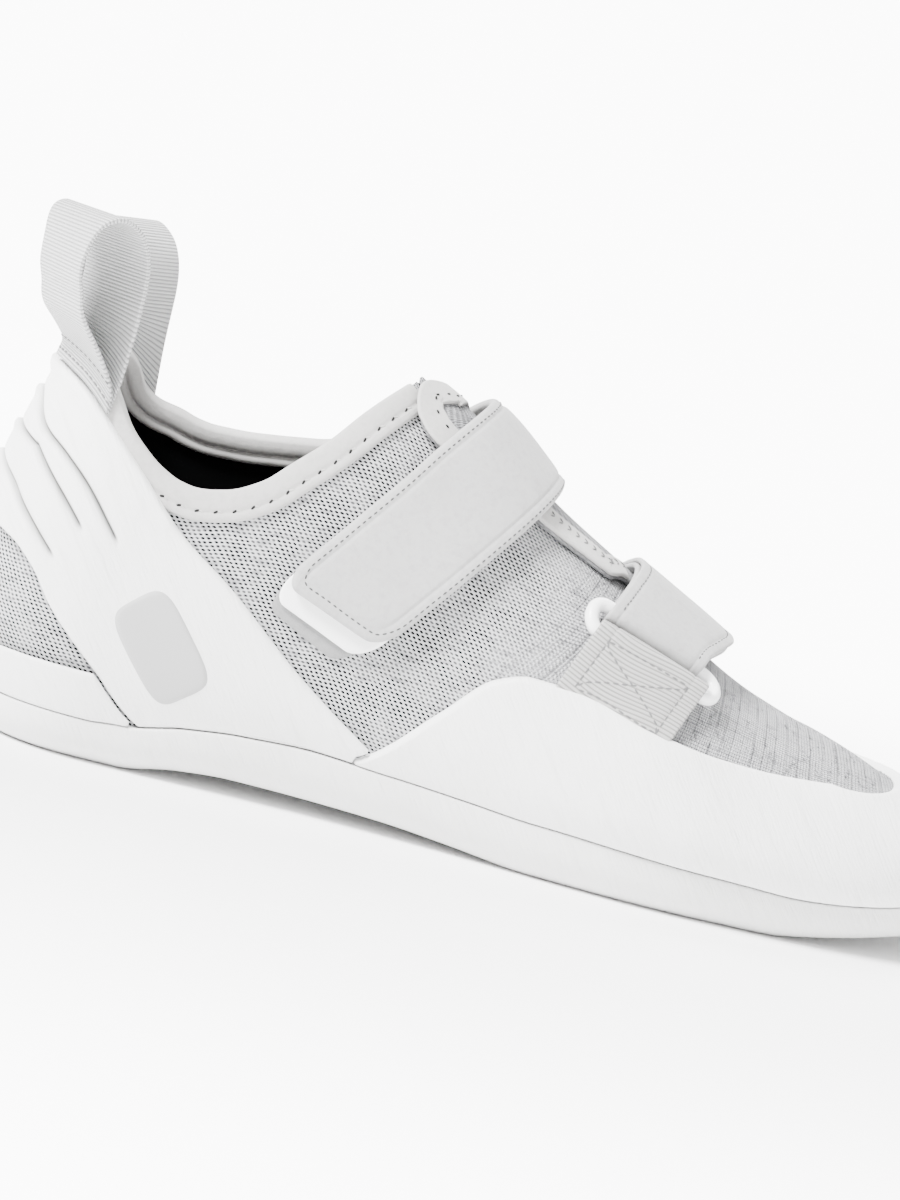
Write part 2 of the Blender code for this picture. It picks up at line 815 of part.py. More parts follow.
def build_heel_rand(finish):
    grid = []
    for u in both_sides(stations_between(0.0, HEEL_RAND_END)):
        station, side = abs(u), side_of(u)
        floor = levels(station, side)[0] + GAP
        top = min(INSTEP_HEIGHT * HEEL_RAND_TOP, INSTEP_HEIGHT * SLING["bottom"](station) - 2 * GAP)
        grid.append([lifted(u, q_at(station, side, h), LAYER) for h in spaced(floor, top, 3)])
    return sheet("heel_rand", grid, RAND_WALL, finish)


def collar_point(u):
    return skin_point(u, top_q(abs(u), side_of(u)))


def build_collar_binding(finish):
    lift = 2 * GAP + BINDING_WALL
    ends = BINDING_END
    grid = []
    for u in both_sides(stations_between(0.0, ends)):
        side = side_of(u)
        q = top_q(abs(u), side)
        ahead, behind = min(u + 0.004, ends), max(u - 0.004, -ends)
        path = collar_point(ahead) - collar_point(behind)
        normal = skin_normal(u, q)
        down = path.cross(normal).normalized()
        if down.z > 0:
            down = -down
        edge = skin_point(u, q)
        middle = stepped(u, q, down, BINDING_WIDTH / 2)
        low = stepped(u, q, down, BINDING_WIDTH)
        inside = stepped(u, q, down, BINDING_INSIDE)
        up = -down
        grid.append(
            [
                lifted(*low, lift),
                lifted(*middle, lift),
                edge + normal * lift,
                edge + normal * (lift - BINDING_ROUND) + up * lift,
                edge - normal * (UPPER_WALL / 2) + up * (lift + BINDING_ROUND),
                edge - normal * (UPPER_WALL + lift - BINDING_ROUND) + up * lift,
                edge - normal * (UPPER_WALL + lift),
                skin_point(*inside) - skin_normal(*inside) * (UPPER_WALL + lift),
            ]
        )
    mesh = grid_mesh("collar_binding", grid)
    builder = bmesh.new()
    builder.from_mesh(mesh)
    builder.faces.ensure_lookup_table()
    low_back = HEEL_HEIGHT - BINDING_WIDTH / 2
    middles = {face: face.calc_center_median() for face in builder.faces}
    back = min(middles, key=lambda face: middles[face].x + (middles[face].z > low_back))
    if back.normal.x > 0:
        bmesh.ops.reverse_faces(builder, faces=builder.faces)
    builder.to_mesh(mesh)
    builder.free()
    piece = add_object("collar_binding", mesh, finish)
    wall = piece.modifiers.new("wall", "SOLIDIFY")
    wall.thickness = BINDING_WALL
    wall.offset = -1.0
    wall.use_even_offset = True
    return piece


def flap_lift(station):
    """The flap stands higher near its top, where it passes over the collar binding."""
    return SEAT + FLAP_LIFT * (1 - smooth_step(0.375, 0.43, station))


def build_tongue(finish):
    grid = []
    for station in sorted(stations_between(FLAP_TOP, FLAP_END) + [0.354, 0.364, 0.558]):
        lift = flap_lift(station) + FLAP_WALL
        rows = spaced(FLAP_EDGE(station), FLAP_INNER_Q, 7)
        grid.append([lifted(-station, q, lift) for q in rows])
    return sheet("tongue", grid, FLAP_WALL, finish)


def build_tongue_trim(finish):
    """The bound edge, which runs up the flap's outer edge and across its top."""
    edge = [(s, FLAP_EDGE(s)) for s in reversed(spaced(FLAP_TOP + 0.004, FLAP_TRIM_END, 12))]
    edge += [(FLAP_TOP + 0.001, q) for q in spaced(0.90, FLAP_INNER_Q - 0.06, 5)]
    flap_middle = skin_point(-(FLAP_TOP + FLAP_END) / 2, 1.0)
    points = [lifted(-s, q, 0.0) for s, q in edge]
    grid = []
    for i, (station, q) in enumerate(edge):
        path = points[min(i + 1, len(points) - 1)] - points[max(i - 1, 0)]
        normal = skin_normal(-station, q)
        inward = normal.cross(path).normalized()
        if inward.dot(flap_middle - points[i]) < 0:
            inward = -inward
        row = []
        for share in (0.0, 0.5, 1.0):
            u, place = stepped(-station, q, inward, FLAP_TRIM_WIDTH * share)
            row.append(lifted(u, place, flap_lift(abs(u)) + FLAP_WALL + SEAT + FLAP_TRIM_WALL))
        grid.append(row)
    return sheet("tongue_trim", grid, FLAP_TRIM_WALL, finish)


def belt_u(lean, foot, q):
    """The u where the skin at q meets the leaning plane that stands at foot on the floor."""
    side = -1 if q <= 1 else 1
    place = q if q <= 1 else 2 - q
    x = foot * SHOE_LENGTH + lean * INSTEP_HEIGHT * 0.7
    for _ in range(30):
        height = height_at(station_of(max(x, HEEL_CENTRE)), side, place)
        x += 0.7 * (foot * SHOE_LENGTH + lean * height - x)
    return -station_of(x)


def belt_point(lean, foot, q, lift):
    return lifted(belt_u(lean, foot, q), q, lift)


def belt_q(lean, foot, height, side=-1):
    """The q at which a leaning plane's line on the skin reaches a height."""
    x = foot * SHOE_LENGTH + lean * height
    q = q_at(station_of(x), side, height)
    return q if side < 0 else 2 - q


def on_ridge(q):
    """1 on the ridge, falling smoothly to 0 at the foot's two sides."""
    return 1 - smooth_step(0.0, 0.42, abs(q - 1))


def strap_grid(lean, edges, starts, end_q, lift_of, across, along, bow=0.0, stand=0.0):
    grid = []
    for i in range(across + 1):
        share = i / across
        foot = edges[0] + (edges[1] - edges[0]) * share
        start = belt_q(lean, foot, starts(share))
        column = []
        for q in spaced(start, end_q(share), along):
            free = on_ridge(q) * (1 - share)
            column.append(belt_point(lean, foot + bow * free, q, lift_of(q) + stand * free))
        grid.append(column)
    return grid


def strap_end_height(share, drop=0.0):
    """Height of the main strap's outer end across its width, with rounded corners."""
    start, end = STRAP_END_HEIGHTS
    height = INSTEP_HEIGHT * (start + (end - start) * share)
    width = (STRAP_EDGES[1] - STRAP_EDGES[0]) * SHOE_LENGTH
    edge = min(share, 1 - share) * width
    rounding = STRAP_CORNER - math.sqrt(max(0.0, STRAP_CORNER**2 - max(0.0, STRAP_CORNER - edge) ** 2))
    return height + rounding - drop


def build_main_strap(finish):
    def inner_end(share):
        rear, front = STRAP_INNER_ENDS
        height = INSTEP_HEIGHT * (rear + (front - rear) * share)
        return belt_q(STRAP_LEAN, STRAP_EDGES[0] + (STRAP_EDGES[1] - STRAP_EDGES[0]) * share, height, 1)

    grid = strap_grid(
        STRAP_LEAN,
        STRAP_EDGES,
        strap_end_height,
        inner_end,
        lambda q: STRAP_STANDOFF(q) + STRAP_WALL,
        5,
        20,
        STRAP_BOW,
        STRAP_STAND,
    )
    return sheet("main_strap", grid, STRAP_WALL, finish)


def build_hook_tab(finish):
    margin = 0.004
    edges = (STRAP_EDGES[0] + margin, STRAP_EDGES[1] - margin)
    lift = GAP + PILE_WALL + GAP + HOOK_TAB_WALL
    grid = strap_grid(
        STRAP_LEAN,
        edges,
        lambda share: strap_end_height(share, HOOK_REACH),
        lambda share: 0.52,
        lambda q: lift,
        5,
        6,
    )
    return sheet("hook_tab", grid, HOOK_TAB_WALL, finish)


def build_pile_patch(finish):
    edges = (STRAP_EDGES[0] - 0.004, STRAP_EDGES[1] - 0.016)
    grid = strap_grid(
        STRAP_LEAN,
        edges,
        lambda share: strap_end_height(share, PILE_REACH),
        lambda share: 0.58,
        lambda q: GAP + PILE_WALL,
        5,
        7,
    )
    return sheet("pile_patch", grid, PILE_WALL, finish)


def ring_place(along, up):
    """(u, q) of a point measured on the skin from the ring's middle, along its own leaning line."""
    u = -RING_ALONG
    slope_along, slope_up = skin_slopes(u, RING_Q)
    rise = up + RING_SLOPE * along
    return u - along / slope_along.length, RING_Q + rise / slope_up.length


def ring_rise(share):
    """How much the ring's q grows from its middle to this share of what it holds."""
    slope_up = skin_slopes(-RING_ALONG, RING_Q)[1].length
    return RING_SLOPE * (share - 0.5) * (RING_LENGTH - 2 * RING_ROD) / slope_up


RING_LIFT = GAP + LOWER_STRAP_WALL + GAP + RING_ROD / 2 + 0.0002
FOLD_RADIUS = RING_ROD / 2 + 0.0005


def build_ring(finish):
    """A rounded oblong of rod that the lower strap and the webbing loop through."""
    corner = 0.0034
    half_long = RING_LENGTH / 2 - RING_ROD / 2
    half_short = RING_BARS_APART / 2
    corner = min(corner, half_short)
    path = []
    for sign_along, sign_up, start in ((1, 1, 0), (-1, 1, 90), (-1, -1, 180), (1, -1, 270)):
        for turn in spaced(start, start + 90, 3):
            angle = math.radians(turn)
            along = sign_along * (half_long - corner) + corner * math.cos(angle)
            up = sign_up * (half_short - corner) + corner * math.sin(angle)
            path.append((along, up))
    dense = []
    for (a0, b0), (a1, b1) in zip(path, path[1:] + path[:1]):
        pieces = max(1, round(math.hypot(a1 - a0, b1 - b0) / 0.005))
        dense += [(a0 + (a1 - a0) * i / pieces, b0 + (b1 - b0) * i / pieces) for i in range(pieces)]
    curve = bpy.data.curves.new("ring", "CURVE")
    curve.dimensions = "3D"
    curve.bevel_depth = RING_ROD / 2
    curve.bevel_resolution = 2
    spline = curve.splines.new("POLY")
    spline.points.add(len(dense) - 1)
    for point, (along, up) in zip(spline.points, dense):
        point.co = (*framed(lifted(*ring_place(along, up), RING_LIFT)), 1)
    spline.use_cyclic_u = True
    piece = bpy.data.objects.new("ring", curve)
    curve.materials.append(finish)
    part_collection.objects.link(piece)
    return piece


def lower_strap_path(inner_q, rise):
    """(q, lift of the strap's middle) from its inner end round the ring's upper bar and back."""
    half = LOWER_STRAP_WALL / 2
    flap_top = SEAT + FLAP_WALL + GAP + FLAP_TRIM_WALL + GAP
    slope_up = skin_slopes(-RING_ALONG, RING_Q)[1].length
    bar_q = RING_Q + RING_BARS_APART / 2 / slope_up + rise
    radius = FOLD_RADIUS + half
    under = RING_LIFT - radius
    path = [(q, 2 * GAP + half) for q in spaced(inner_q, 1.46, 2)] + [(1.40, 0.0014 + half)]
    path += [(q, flap_top + half) for q in (1.30, 1.18, 1.06, 0.94, 0.84, 0.75)]
    path += [(bar_q + 0.055, under + 0.0006), (bar_q + 0.025, under), (bar_q, under)]
    for turn in (35, 70, 105, 140, 180):
        angle = math.radians(turn)
        path.append((bar_q - radius * math.sin(angle) / slope_up, RING_LIFT - radius * math.cos(angle)))
    over = flap_top + LOWER_STRAP_WALL + GAP + half
    path += [(bar_q + 0.045, RING_LIFT + radius - 0.0003), (0.76, RING_LIFT + radius - 0.0010)]
    path += [(0.85, over + 0.0010), (0.94, over + 0.0004)]
    path += [(q, over) for q in (1.03, 1.12, 1.21, 1.32)]
    path += [(1.42, over - 0.0010), (LOWER_TIP_Q, over - 0.0013)]
    return path


def build_lower_strap(finish):
    grid = []
    across = 4
    slope_up = skin_slopes(-RING_ALONG, RING_Q)[1].length
    for i in range(across + 1):
        share = i / across
        wide = LOWER_EDGES[0] + (LOWER_EDGES[1] - LOWER_EDGES[0]) * share
        narrow = LOWER_EDGES_AT_RING[0] + (LOWER_EDGES_AT_RING[1] - LOWER_EDGES_AT_RING[0]) * share
        column = []
        bar_q = RING_Q + RING_BARS_APART / 2 / slope_up + ring_rise(share)
        hem_x = wide * SHOE_LENGTH + LOWER_LEAN * 0.42 * INSTEP_HEIGHT
        hem = INSTEP_HEIGHT * RAND_TOP(hem_x / SHOE_LENGTH) + HEM_CLEARANCE
        for q, lift in lower_strap_path(belt_q(LOWER_LEAN, wide, hem, 1), ring_rise(share)):
            spread = smooth_step(bar_q, 0.95, q)
            foot = narrow + (wide - narrow) * spread
            column.append(belt_point(LOWER_LEAN, foot, q, lift + LOWER_STAND * share * on_ridge(q)))
        grid.append(column)
    return sheet("lower_strap", grid, LOWER_STRAP_WALL, finish, offset=0.0)


def build_ring_webbing(finish):
    """Webbing sewn to the outer side, doubled through the ring's lower bar."""
    half = WEBBING_WALL / 2
    slope_up = skin_slopes(-RING_ALONG, RING_Q)[1].length
    radius = FOLD_RADIUS + half
    grid = []
    across = 5
    for i in range(across + 1):
        bar_q = RING_Q - RING_BARS_APART / 2 / slope_up + ring_rise(i / across)
        foot = WEBBING_EDGES[0] + (WEBBING_EDGES[1] - WEBBING_EDGES[0]) * i / across
        top_x = foot * SHOE_LENGTH + WEBBING_LEAN * 0.42 * INSTEP_HEIGHT
        hem = belt_q(WEBBING_LEAN, foot, INSTEP_HEIGHT * RAND_TOP(top_x / SHOE_LENGTH) + HEM_CLEARANCE)
        low = 2 * GAP + half
        path = [(q, low) for q in spaced(hem, bar_q - 0.03, 3)]
        for turn in (180, 140, 105, 70, 35, 0):
            angle = math.radians(turn)
            path.append((bar_q + radius * math.sin(angle) / slope_up, RING_LIFT + radius * math.cos(angle)))
        doubled = 3 * GAP + WEBBING_WALL + half
        path += [(bar_q - 0.04, RING_LIFT + radius - 0.0012), (bar_q - 0.09, doubled + 0.0014)]
        path += [((hem + bar_q) / 2 - 0.04, doubled + 0.0003), (hem, doubled)]
        grid.append([belt_point(WEBBING_LEAN, foot, q, lift) for q, lift in path])
    return sheet("ring_webbing", grid, WEBBING_WALL, finish, offset=0.0)


def loop_foot(place):
    """Height of a pull loop's sewn ends: they meet the sling's top edge."""
    return INSTEP_HEIGHT * SLING["top"](place) + LOOP_CLEARANCE


def build_pull_loop(name, side, finish):
    """A loop of webbing standing on the rear corner of the collar, its two ends sewn outside."""
    across = 4
    station = LOOP_PLACES[side]
    seat = SEAT + BINDING_WALL + SEAT + LOOP_WALL / 2
    foot_q = q_at(station, side, loop_foot(station))
    middle = lifted(side * station, foot_q, seat)
    out = Vector((-math.cos(LOOP_FACING), side * math.sin(LOOP_FACING), 0))
    forward = Vector((math.sin(LOOP_FACING), side * math.cos(LOOP_FACING), 0))
    per_station = skin_slopes(side * station, foot_q)[0].length
    grid = []
    for i in range(across + 1):
        wide = LOOP_WIDTH * (i / across - 0.5)
        place = station + wide / per_station
        column = []
        for index, (outward, up) in enumerate(LOOP_PATH):
            free = middle + out * (outward * LOOP_DEPTH) + forward * wide
            free.z = loop_foot(station) + up * LOOP_HEIGHT
            height = loop_foot(place) + up * LOOP_HEIGHT * 0.8
            lift = seat if index < len(LOOP_PATH) // 2 else seat + LOOP_WALL + GAP
            held = lifted(side * place, q_at(place, side, min(height, HEEL_HEIGHT)), lift)
            held.z = height
            loose = smooth_step(0.17, 0.55, up)
            column.append(held * (1 - loose) + free * loose)
        grid.append(column)
    hollow = middle + out * 0.2 * LOOP_DEPTH
    inside = (hollow.x, hollow.y, loop_foot(station) + 0.6 * LOOP_HEIGHT)
    return sheet(name, grid, LOOP_WALL, finish, offset=0.0, inside=inside)


def main():
    for old in list(bpy.data.objects):
        bpy.data.objects.remove(old, do_unlink=True)
    bpy.context.scene.collection.children.link(part_collection)
    knit = material("knit", (0.72, 0.72, 0.73), 0.9)
    rubber = material("white_rubber", (0.86, 0.86, 0.85), 0.55)
    suede = material("suede", (0.75, 0.74, 0.73), 0.95)
    lining = material("footbed", (0.05, 0.05, 0.05), 0.95)
    webbing = material("webbing", (0.80, 0.80, 0.80), 0.8)
    plastic = material("white_plastic", (0.9, 0.9, 0.9), 0.35)
    pile = material("pile", (0.74, 0.74, 0.74), 1.0)
    build_sole(rubber)
    build_insole(lining)
    build_upper(knit)
    build_tongue(knit)
    build_tongue_trim(suede)
    build_collar_binding(suede)
    build_toe_rand(rubber)
    build_heel_rand(rubber)
    build_heel_sling(rubber)
    build_pile_patch(pile)
    build_hook_tab(plastic)
    build_main_strap(suede)
    build_ring(plastic)
    build_lower_strap(suede)
    build_ring_webbing(webbing)
    build_pull_loop("pull_loop_outer", -1, webbing)
    build_pull_loop("pull_loop_inner", 1, webbing)


main()
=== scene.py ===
"""The looks of a climbing shoe, over the part that gives its shape."""
import math

import bmesh
import bpy
import numpy as np
from mathutils import Matrix, Vector, kdtree


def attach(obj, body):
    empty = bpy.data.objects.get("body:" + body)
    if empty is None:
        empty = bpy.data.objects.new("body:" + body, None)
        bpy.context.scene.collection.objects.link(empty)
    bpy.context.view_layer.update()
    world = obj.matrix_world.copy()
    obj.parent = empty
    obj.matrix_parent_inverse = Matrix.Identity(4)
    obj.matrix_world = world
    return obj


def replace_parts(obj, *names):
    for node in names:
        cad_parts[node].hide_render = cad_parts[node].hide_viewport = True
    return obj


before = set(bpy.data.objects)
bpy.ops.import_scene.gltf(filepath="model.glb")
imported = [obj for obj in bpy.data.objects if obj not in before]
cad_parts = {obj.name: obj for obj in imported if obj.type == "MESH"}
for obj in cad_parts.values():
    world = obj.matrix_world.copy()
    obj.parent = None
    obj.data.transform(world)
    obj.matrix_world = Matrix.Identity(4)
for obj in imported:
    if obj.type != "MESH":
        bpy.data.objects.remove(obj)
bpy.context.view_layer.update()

# Driving sizes, in metres
SHOE_LENGTH = 0.265
BALL_WIDTH = 0.0863
HEEL_WIDTH = 0.055
INSTEP_HEIGHT = 0.101
HEEL_HEIGHT = 0.096
HEEL_CENTRE = 0.038
UPPER_WALL = 0.002
GAP = 0.0003
SEAT = 0.0005

# Sole
SOLE_SIDE = 0.013
SOLE_LIP = 0.0003
ARCH_RISE = 0.0035
INNER_ARCH = 0.004
TOE_SPRING = 0.0145
EDGE_ROUND = 0.007
EDGE_ROUND_HEIGHT = 0.72
FLAT_INSET = 2.2 * EDGE_ROUND
FULL_REACH = 0.020
REST_SPOT = 0.030

# Rubber and trim laid over the upper
RAND_WALL = 0.0018
SLING_WALL = 0.0018
SLING_STEP = 0.0009
BINDING_WALL = 0.0008
BINDING_WIDTH = 0.0067
BINDING_END = 0.345

# Throat, tongue flap and straps
SLIT_WIDTH = 0.0064
FLAP_WALL = 0.0012
FLAP_LIFT = 0.0011
FLAP_TRIM_WIDTH = 0.006
FLAP_TRIM_WALL = 0.0006
PILE_WALL = 0.0010
HOOK_TAB_WALL = 0.0010
STRAP_WALL = 0.0024
LOWER_STRAP_WALL = 0.0014
RING_LENGTH = 0.0385
RING_BARS_APART = 0.0072
RING_ROD = 0.0033
WEBBING_WALL = 0.0010

# Pull loops
LOOP_WIDTH = 0.020
LOOP_HEIGHT = 0.0395
LOOP_DEPTH = 0.045
LOOP_WALL = 0.0010
LOOP_PLACES = {-1: 0.0585, 1: 0.088}
LOOP_FACING = math.radians(39)
LOOP_CLEARANCE = 0.0014

LAYER = RAND_WALL + SEAT
HEEL_SHARE = HEEL_CENTRE / SHOE_LENGTH
NOSE_START = 0.72
NOSE_DROP_START = 0.86
TIP_X = SHOE_LENGTH - LAYER - SOLE_LIP
HEEL_BACK_X = SLING_WALL + SLING_STEP + GAP
HEEL_ROUNDNESS = 2.2
NOSE_ROUNDNESS = 2.7
NOSE_BLUNTNESS = 2.3
SMALL = 1e-4
TINY = 1e-9


class Profile:
    """A smooth curve through given points, level past both ends."""

    def __init__(self, places, values):
        self.places = np.asarray(places, float)
        self.values = np.asarray(values, float)
        runs = np.diff(self.places)
        rises = np.diff(self.values) / runs
        self.slopes = np.zeros(len(self.places))
        for i in range(1, len(self.places) - 1):
            before, after = rises[i - 1], rises[i]
            if before * after > 0:
                early = 2 * runs[i] + runs[i - 1]
                late = runs[i] + 2 * runs[i - 1]
                self.slopes[i] = (early + late) / (early / before + late / after)
        self.slopes[0] = rises[0]
        self.slopes[-1] = rises[-1]

    def __call__(self, place):
        last = len(self.places) - 1
        if place <= self.places[0]:
            return float(self.values[0])
        if place >= self.places[last]:
            return float(self.values[last])
        i = int(np.searchsorted(self.places, place, side="right")) - 1
        run = self.places[i + 1] - self.places[i]
        t = (place - self.places[i]) / run
        start = self.values[i] * (1 + 2 * t) * (1 - t) ** 2
        end = self.values[i + 1] * t * t * (3 - 2 * t)
        leave = run * self.slopes[i] * t * (1 - t) ** 2
        arrive = run * self.slopes[i + 1] * t * t * (t - 1)
        return float(start + end + leave + arrive)


def table(columns, rows):
    """One Profile for each named column after the first, over the first column's values."""
    names = columns.split()
    places = [row[0] for row in rows]
    return {name: Profile(places, [row[i] for row in rows]) for i, name in enumerate(names) if i}


# Sections of the last. along and ridge are shares of the shoe's length and of the instep's
# height. girth is 0 at the heel's width and 1 at the ball's. outer is the share of the width
# on the outer side of the ridge. widest is a share of the height from the seam to the ridge.
SECTIONS = table(
    "along girth outer ridge widest",
    [
        (0.143, 0.000, 0.500, 1.139, 0.190),
        (0.226, -0.005, 0.515, 1.125, 0.150),
        (0.317, -0.010, 0.537, 1.070, 0.130),
        (0.366, 0.030, 0.555, 1.002, 0.135),
        (0.426, 0.130, 0.570, 0.929, 0.150),
        (0.498, 0.350, 0.572, 0.798, 0.180),
        (0.574, 0.660, 0.565, 0.686, 0.190),
        (0.634, 0.880, 0.560, 0.593, 0.200),
        (0.698, 1.000, 0.558, 0.495, 0.210),
        (0.755, 0.985, 0.563, 0.440, 0.225),
        (0.811, 0.930, 0.572, 0.398, 0.240),
        (0.868, 0.850, 0.578, 0.340, 0.250),
        (0.925, 0.700, 0.585, 0.298, 0.250),
        (0.991, 0.300, 0.590, 0.270, 0.250),
    ],
)
# The ridge's distance from the heel's axis, as a share of the ball's width.
SPINE = Profile(
    [0.0, 0.143, 0.30, 0.407, 0.52, 0.62, 0.755, 1.0],
    [0, 0, 0.006, 0.020, 0.040, 0.058, 0.098, 0.145],
)
# The heel's back: setback from its rearmost point as a share of the heel's radius, over
# height as a share of the heel's height.
BACK = Profile(
    [0.09, 0.18, 0.31, 0.45, 0.57, 0.65, 0.73, 0.83, 0.94, 1.02],
    [0.235, 0.100, 0.016, 0.0, 0.018, 0.052, 0.110, 0.190, 0.258, 0.300],
)
BACK_WIDEST = 0.44
SIDE_TUCK = 0.08
# The sole: arch and spring are shares of the arch's rise and the toe spring, band is the
# share of the sole's side height.
SOLE = table(
    "along arch spring band",
    [
        (0.000, 0.00, 0.00, 0.73),
        (0.120, 0.00, 0.00, 0.75),
        (0.170, 0.00, 0.00, 0.84),
        (0.226, 0.72, 0.00, 0.86),
        (0.275, 1.00, 0.00, 0.90),
        (0.340, 0.95, 0.00, 0.97),
        (0.407, 0.82, 0.00, 0.93),
        (0.480, 0.42, 0.00, 0.96),
        (0.547, 0.00, 0.00, 1.00),
        (0.672, 0.00, 0.00, 0.92),
        (0.762, 0.00, 0.00, 0.85),
        (0.807, 0.00, 0.10, 0.75),
        (0.857, 0.00, 0.25, 0.69),
        (0.887, 0.00, 0.35, 0.68),
        (0.943, 0.00, 0.52, 0.60),
        (0.970, 0.00, 0.68, 0.46),
        (0.989, 0.00, 0.86, 0.32),
        (1.000, 0.00, 1.00, 0.20),
    ],
)
# The collar's edge on both sides, as shares of the heel's height.
COLLAR = table(
    "along outer inner",
    [
        (0.0000, 1.000, 1.000),
        (0.0640, 0.955, 0.975),
        (0.0930, 0.885, 0.931),
        (0.1130, 0.823, 0.864),
        (0.1320, 0.779, 0.838),
        (0.1510, 0.743, 0.828),
        (0.1700, 0.721, 0.813),
        (0.1850, 0.715, 0.808),
        (0.2110, 0.727, 0.810),
        (0.2415, 0.770, 0.820),
        (0.2640, 0.830, 0.830),
        (0.2890, 0.898, 0.844),
        (0.3170, 0.990, 0.896),
        (0.3320, 1.031, 0.953),
        (0.3550, 1.083, 1.083),
    ],
)
SLIT = Profile([0.40, 0.50, 0.575], [1.0, 0.6, 0.0])
# Top edge of the toe rand and both edges of the heel sling, in shares of the instep's height.
RAND_TOP = Profile(
    [0.373, 0.390, 0.439, 0.480, 0.510, 0.550, 0.620, 0.680, 0.745, 0.800, 0.862],
    [0.160, 0.190, 0.325, 0.432, 0.456, 0.452, 0.408, 0.375, 0.358, 0.354, 0.355],
)
RAND_START = 0.376
RAND_BEND = 0.790
RAND_CROSSING = 0.862
SLING = table(
    "along top bottom",
    [
        (0.0000, 0.880, 0.500),
        (0.0300, 0.873, 0.488),
        (0.0580, 0.851, 0.462),
        (0.0757, 0.826, 0.418),
        (0.0950, 0.787, 0.340),
        (0.1335, 0.699, 0.230),
        (0.1700, 0.606, 0.140),
        (0.1850, 0.572, 0.115),
        (0.2350, 0.484, 0.050),
        (0.3130, 0.324, 0.050),
        (0.3900, 0.192, 0.050),
    ],
)
SLING_END = 0.387
SLING_LAP_CLEAR = 0.0012
HEEL_RAND_TOP = 0.215
HEEL_RAND_END = 0.176
# The tongue flap's outer edge and the main strap's standoff, over q.
FLAP_EDGE = Profile(
    [0.348, 0.354, 0.364, 0.400, 0.470, 0.530, 0.558, 0.570, 0.590],
    [0.84, 0.75, 0.69, 0.66, 0.72, 0.765, 0.785, 0.850, 0.885],
)
FLAP_INNER_Q = 1.36
FLAP_TOP = 0.348
FLAP_END = 0.590
FLAP_TRIM_END = 0.574
# The straps lie between leaning planes: lean is how far back they go for each metre down, and
# the two edges are shares of the shoe's length where the planes meet the floor.
STRAP_LEAN = 0.78
STRAP_EDGES = (0.118, 0.249)
STRAP_END_HEIGHTS = (0.560, 0.462)
STRAP_CORNER = 0.006
# How far the pile patch and the hook tab show past the strap's end.
PILE_REACH = 0.0062
HOOK_REACH = 0.0038
# At its upper edge the strap bows forward on the ridge, a share of the length, and stands off.
STRAP_BOW = 0.009
STRAP_STAND = 0.0014
STRAP_INNER_ENDS = (0.510, 0.440)
STRAP_STANDOFF = Profile(
    [0.20, 0.62, 0.86, 1.10, 1.36, 1.50, 1.70], [0.0031, 0.0035, 0.0044, 0.0043, 0.0034, 0.0014, 0.0004]
)
LOWER_LEAN = 0.53
LOWER_EDGES = (0.439, 0.563)
LOWER_EDGES_AT_RING = (0.4365, 0.5435)
LOWER_STAND = 0.0020
HEM_CLEARANCE = 0.0012
LOWER_TIP_Q = 1.45
RING_ALONG = 0.605
RING_Q = 0.563
RING_SLOPE = 0.11
WEBBING_LEAN = 0.45
WEBBING_EDGES = (0.4545, 0.5725)
# A pull loop's path from its inner end over the top to its outer end: outward and up, as
# shares of its height.
LOOP_PATH = [
    (-0.013, 0.000),
    (-0.018, 0.080),
    (-0.026, 0.184),
    (-0.044, 0.344),
    (-0.064, 0.520),
    (-0.054, 0.700),
    (-0.014, 0.834),
    (0.054, 0.926),
    (0.160, 0.980),
    (0.256, 0.940),
    (0.315, 0.840),
    (0.332, 0.700),
    (0.318, 0.560),
    (0.268, 0.390),
    (0.176, 0.260),
    (0.086, 0.128),
    (0.040, 0.060),
    (0.015, 0.000),
]


def station_x(station):
    """Distance from the heel's back of a section past the heel's centre."""
    if station <= NOSE_START:
        return station * SHOE_LENGTH
    turn = (station - NOSE_START) / (1 - NOSE_START) * math.pi / 2
    start = NOSE_START * SHOE_LENGTH
    return start + (TIP_X - start) * math.sin(turn)


def station_of(x):
    """The section at this distance from the heel's back, the inverse of station_x."""
    start = NOSE_START * SHOE_LENGTH
    if x <= start:
        return x / SHOE_LENGTH
    turn = math.asin(min(1.0, (x - start) / (TIP_X - start)))
    return NOSE_START + (1 - NOSE_START) * turn / (math.pi / 2)


def sole_bottom(x, side, spread):
    """Height of the sole's underside. spread is 0 on the spine and 1 at the edge."""
    along = x / SHOE_LENGTH
    inner = INNER_ARCH * spread**2 if side > 0 else 0.0
    return (ARCH_RISE + inner) * SOLE["arch"](along) + TOE_SPRING * SOLE["spring"](along)


def band_height(x):
    return SOLE_SIDE * SOLE["band"](x / SHOE_LENGTH)


def seam_height(x, side):
    return sole_bottom(x, side, 1) + band_height(x)


def section(x, side):
    """(half width, seam height, widest height, ridge height) of the last at x on one side."""
    along = x / SHOE_LENGTH
    width = HEEL_WIDTH + (BALL_WIDTH - HEEL_WIDTH) * SECTIONS["girth"](along)
    share = SECTIONS["outer"](along)
    half = width * (share if side < 0 else 1 - share)
    start = NOSE_START * SHOE_LENGTH
    nose = min(1.0, max(0.0, (x - start) / (TIP_X - start)))
    half *= (1 - nose**NOSE_BLUNTNESS) ** (1 / NOSE_BLUNTNESS)
    seam = seam_height(x, side)
    ridge = INSTEP_HEIGHT * SECTIONS["ridge"](along)
    drop_start = NOSE_DROP_START * SHOE_LENGTH
    drop = min(1.0, max(0.0, (x - drop_start) / (TIP_X - drop_start)))
    ridge = seam + (ridge - seam) * (1 - drop**NOSE_ROUNDNESS) ** (1 / NOSE_ROUNDNESS)
    widest = seam + (ridge - seam) * SECTIONS["widest"](along)
    return half, seam, widest, ridge


